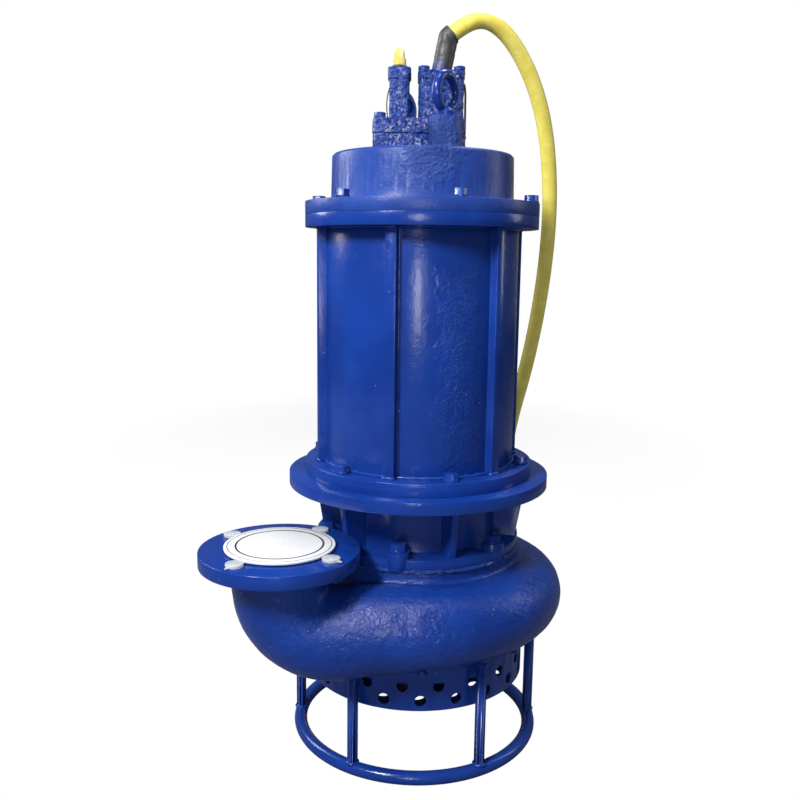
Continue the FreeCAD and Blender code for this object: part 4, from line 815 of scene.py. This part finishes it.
# %% [markdown]
# Two thin dark lines finish the head: a strap down the right side of the power gland, with a knob
# where it is screwed on, and a bent wire beside the signal gland. Their points count up or down
# from the lid of the terminal box.

# %% Strap and wire
LID_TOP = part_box("terminal_box_lid")[1][2] / MM
KNOB_SPOT = (53.6, -9, LID_TOP - 17)
STRAP = [(51.5, -8, LID_TOP + 51), (53.8, -8, LID_TOP + 46), (54, -8, LID_TOP + 20),
         (54.2, -9, LID_TOP - 8), KNOB_SPOT]
WIRE = [(-44.5, -18, LID_TOP + 44), (-48, -18, LID_TOP + 34), (-48.6, -19, LID_TOP + 14),
        (-46, -20, LID_TOP + 0.5)]

strap = smooth_line("gland_strap", [Vector(p) * MM for p in STRAP], 1.4 * MM, finishes["black_rubber"])
wire = smooth_line("signal_wire", [Vector(p) * MM for p in WIRE], 0.8 * MM, finishes["black_rubber"])
knob = lump(Vector(KNOB_SPOT) * MM, 0, 2.6, 2.6, 3.0)
knob.name = "strap_knob"
settle(knob, finishes["black_rubber"], smooth=80)
for piece in (strap, wire, knob):
    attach(piece, "root")
print("strap, knob and wire")

# %% [markdown]
# The pump stands on a pale floor that runs to white. For the camera the floor glows more and more
# with distance, so its far edge melts into the backdrop and the pump keeps a faint shadow. For
# every other ray it is dark, because a white floor would fill the enamel with grey.

# %% Floor
def blend(material, share, first, second, output):
    """Show the first shader where the share is 0 and the second where it is 1."""
    made = material.node_tree.nodes.new("ShaderNodeMixShader")
    for socket, value in zip(made.inputs, (share, first, second)):
        feed(material, value, socket)
    feed(material, made.outputs[0], material.node_tree.nodes[output].inputs["Surface"])


floor_material = new_material("floor")
settings(floor_material, Roughness=0.9)
seen = put(floor_material, "LightPath").outputs["Is Camera Ray"]
link(floor_material, mix(floor_material, seen, (0.12, 0.13, 0.16, 1), (0.92, 0.92, 0.93, 1)), "Base Color")
reach = put(floor_material, "VectorMath", Vector=where(floor_material))
reach.operation = "LENGTH"
pale = ramp(floor_material, reach.outputs["Value"], 0.35, 1.1, 0.80, 1.0)
glow = put(floor_material, "Emission", Color=(1, 1, 1, 1), Strength=1.0)
blend(floor_material, combine(floor_material, "MULTIPLY", seen, pale),
      shader(floor_material).outputs[0], glow.outputs[0], "Material Output")

bpy.ops.mesh.primitive_plane_add(size=14, location=(0, 2, 0))
floor = bpy.context.object
floor.name = "floor"
dress(floor, floor_material)
print("floor 14 m wide")

# %% [markdown]
# The white backdrop is a colour that only the camera sees, straight or through the milky caps.
# Everything else is lit by a weak bluish sky. Mirrored in the enamel, a white sky would lay a
# veil over every edge-on face.

# %% Backdrop
world = bpy.data.worlds.new("studio")
bpy.context.scene.world = world
world.use_nodes = True
rays = put(world, "LightPath").outputs
seen = combine(world, "MAXIMUM", rays["Is Camera Ray"], rays["Is Transmission Ray"])
sky = world.node_tree.nodes["Background"]
feed(world, (0.85, 0.9, 1, 1), sky.inputs["Color"])
feed(world, 0.12, sky.inputs["Strength"])
white = put(world, "Background", Color=(1, 1, 1, 1), Strength=1.0)
blend(world, seen, sky.outputs[0], white.outputs[0], "World Output")
print("backdrop for the camera, sky strength 0.12")

# %% [markdown]
# Six lamps light the pump. The key lamp stands high over the left shoulder, and a narrow lamp in
# front throws the streak down the casing. Weaker ones from above and from both sides draw the
# edges, and the one behind stands high, so that the flanges don't mirror it at a grazing angle.

# %% Lamps
def lamp(name, spot, target, width, height, watts):
    data = bpy.data.lights.new(name, "AREA")
    data.shape = "RECTANGLE"
    data.size = width
    data.size_y = height
    data.energy = watts
    piece = bpy.data.objects.new(name, data)
    bpy.context.collection.objects.link(piece)
    piece.location = spot
    piece.rotation_euler = (Vector(target) - Vector(spot)).to_track_quat("-Z", "Y").to_euler()


LAMPS = (
    ("key_lamp", (-1.2, -1.7, 2.1), (0, 0, 0.6), 0.5, 0.6, 80),
    ("top_lamp", (0.0, -0.55, 2.7), (0, 0, 0.7), 1.2, 0.25, 15),
    ("side_lamp", (-1.9, 0.8, 1.6), (0, 0, 0.7), 0.6, 1.0, 24),
    ("front_lamp", (-0.2, -2.6, 0.9), (0, 0, 0.4), 0.3, 0.8, 13),
    ("rim_lamp", (2.0, 0.3, 1.4), (0, 0, 0.6), 0.3, 1.4, 7),
    ("back_lamp", (0.5, 1.3, 2.5), (0, 0, 0.5), 0.9, 0.9, 30),
)
for row in LAMPS:
    lamp(*row)
print(len(LAMPS), "lamps")
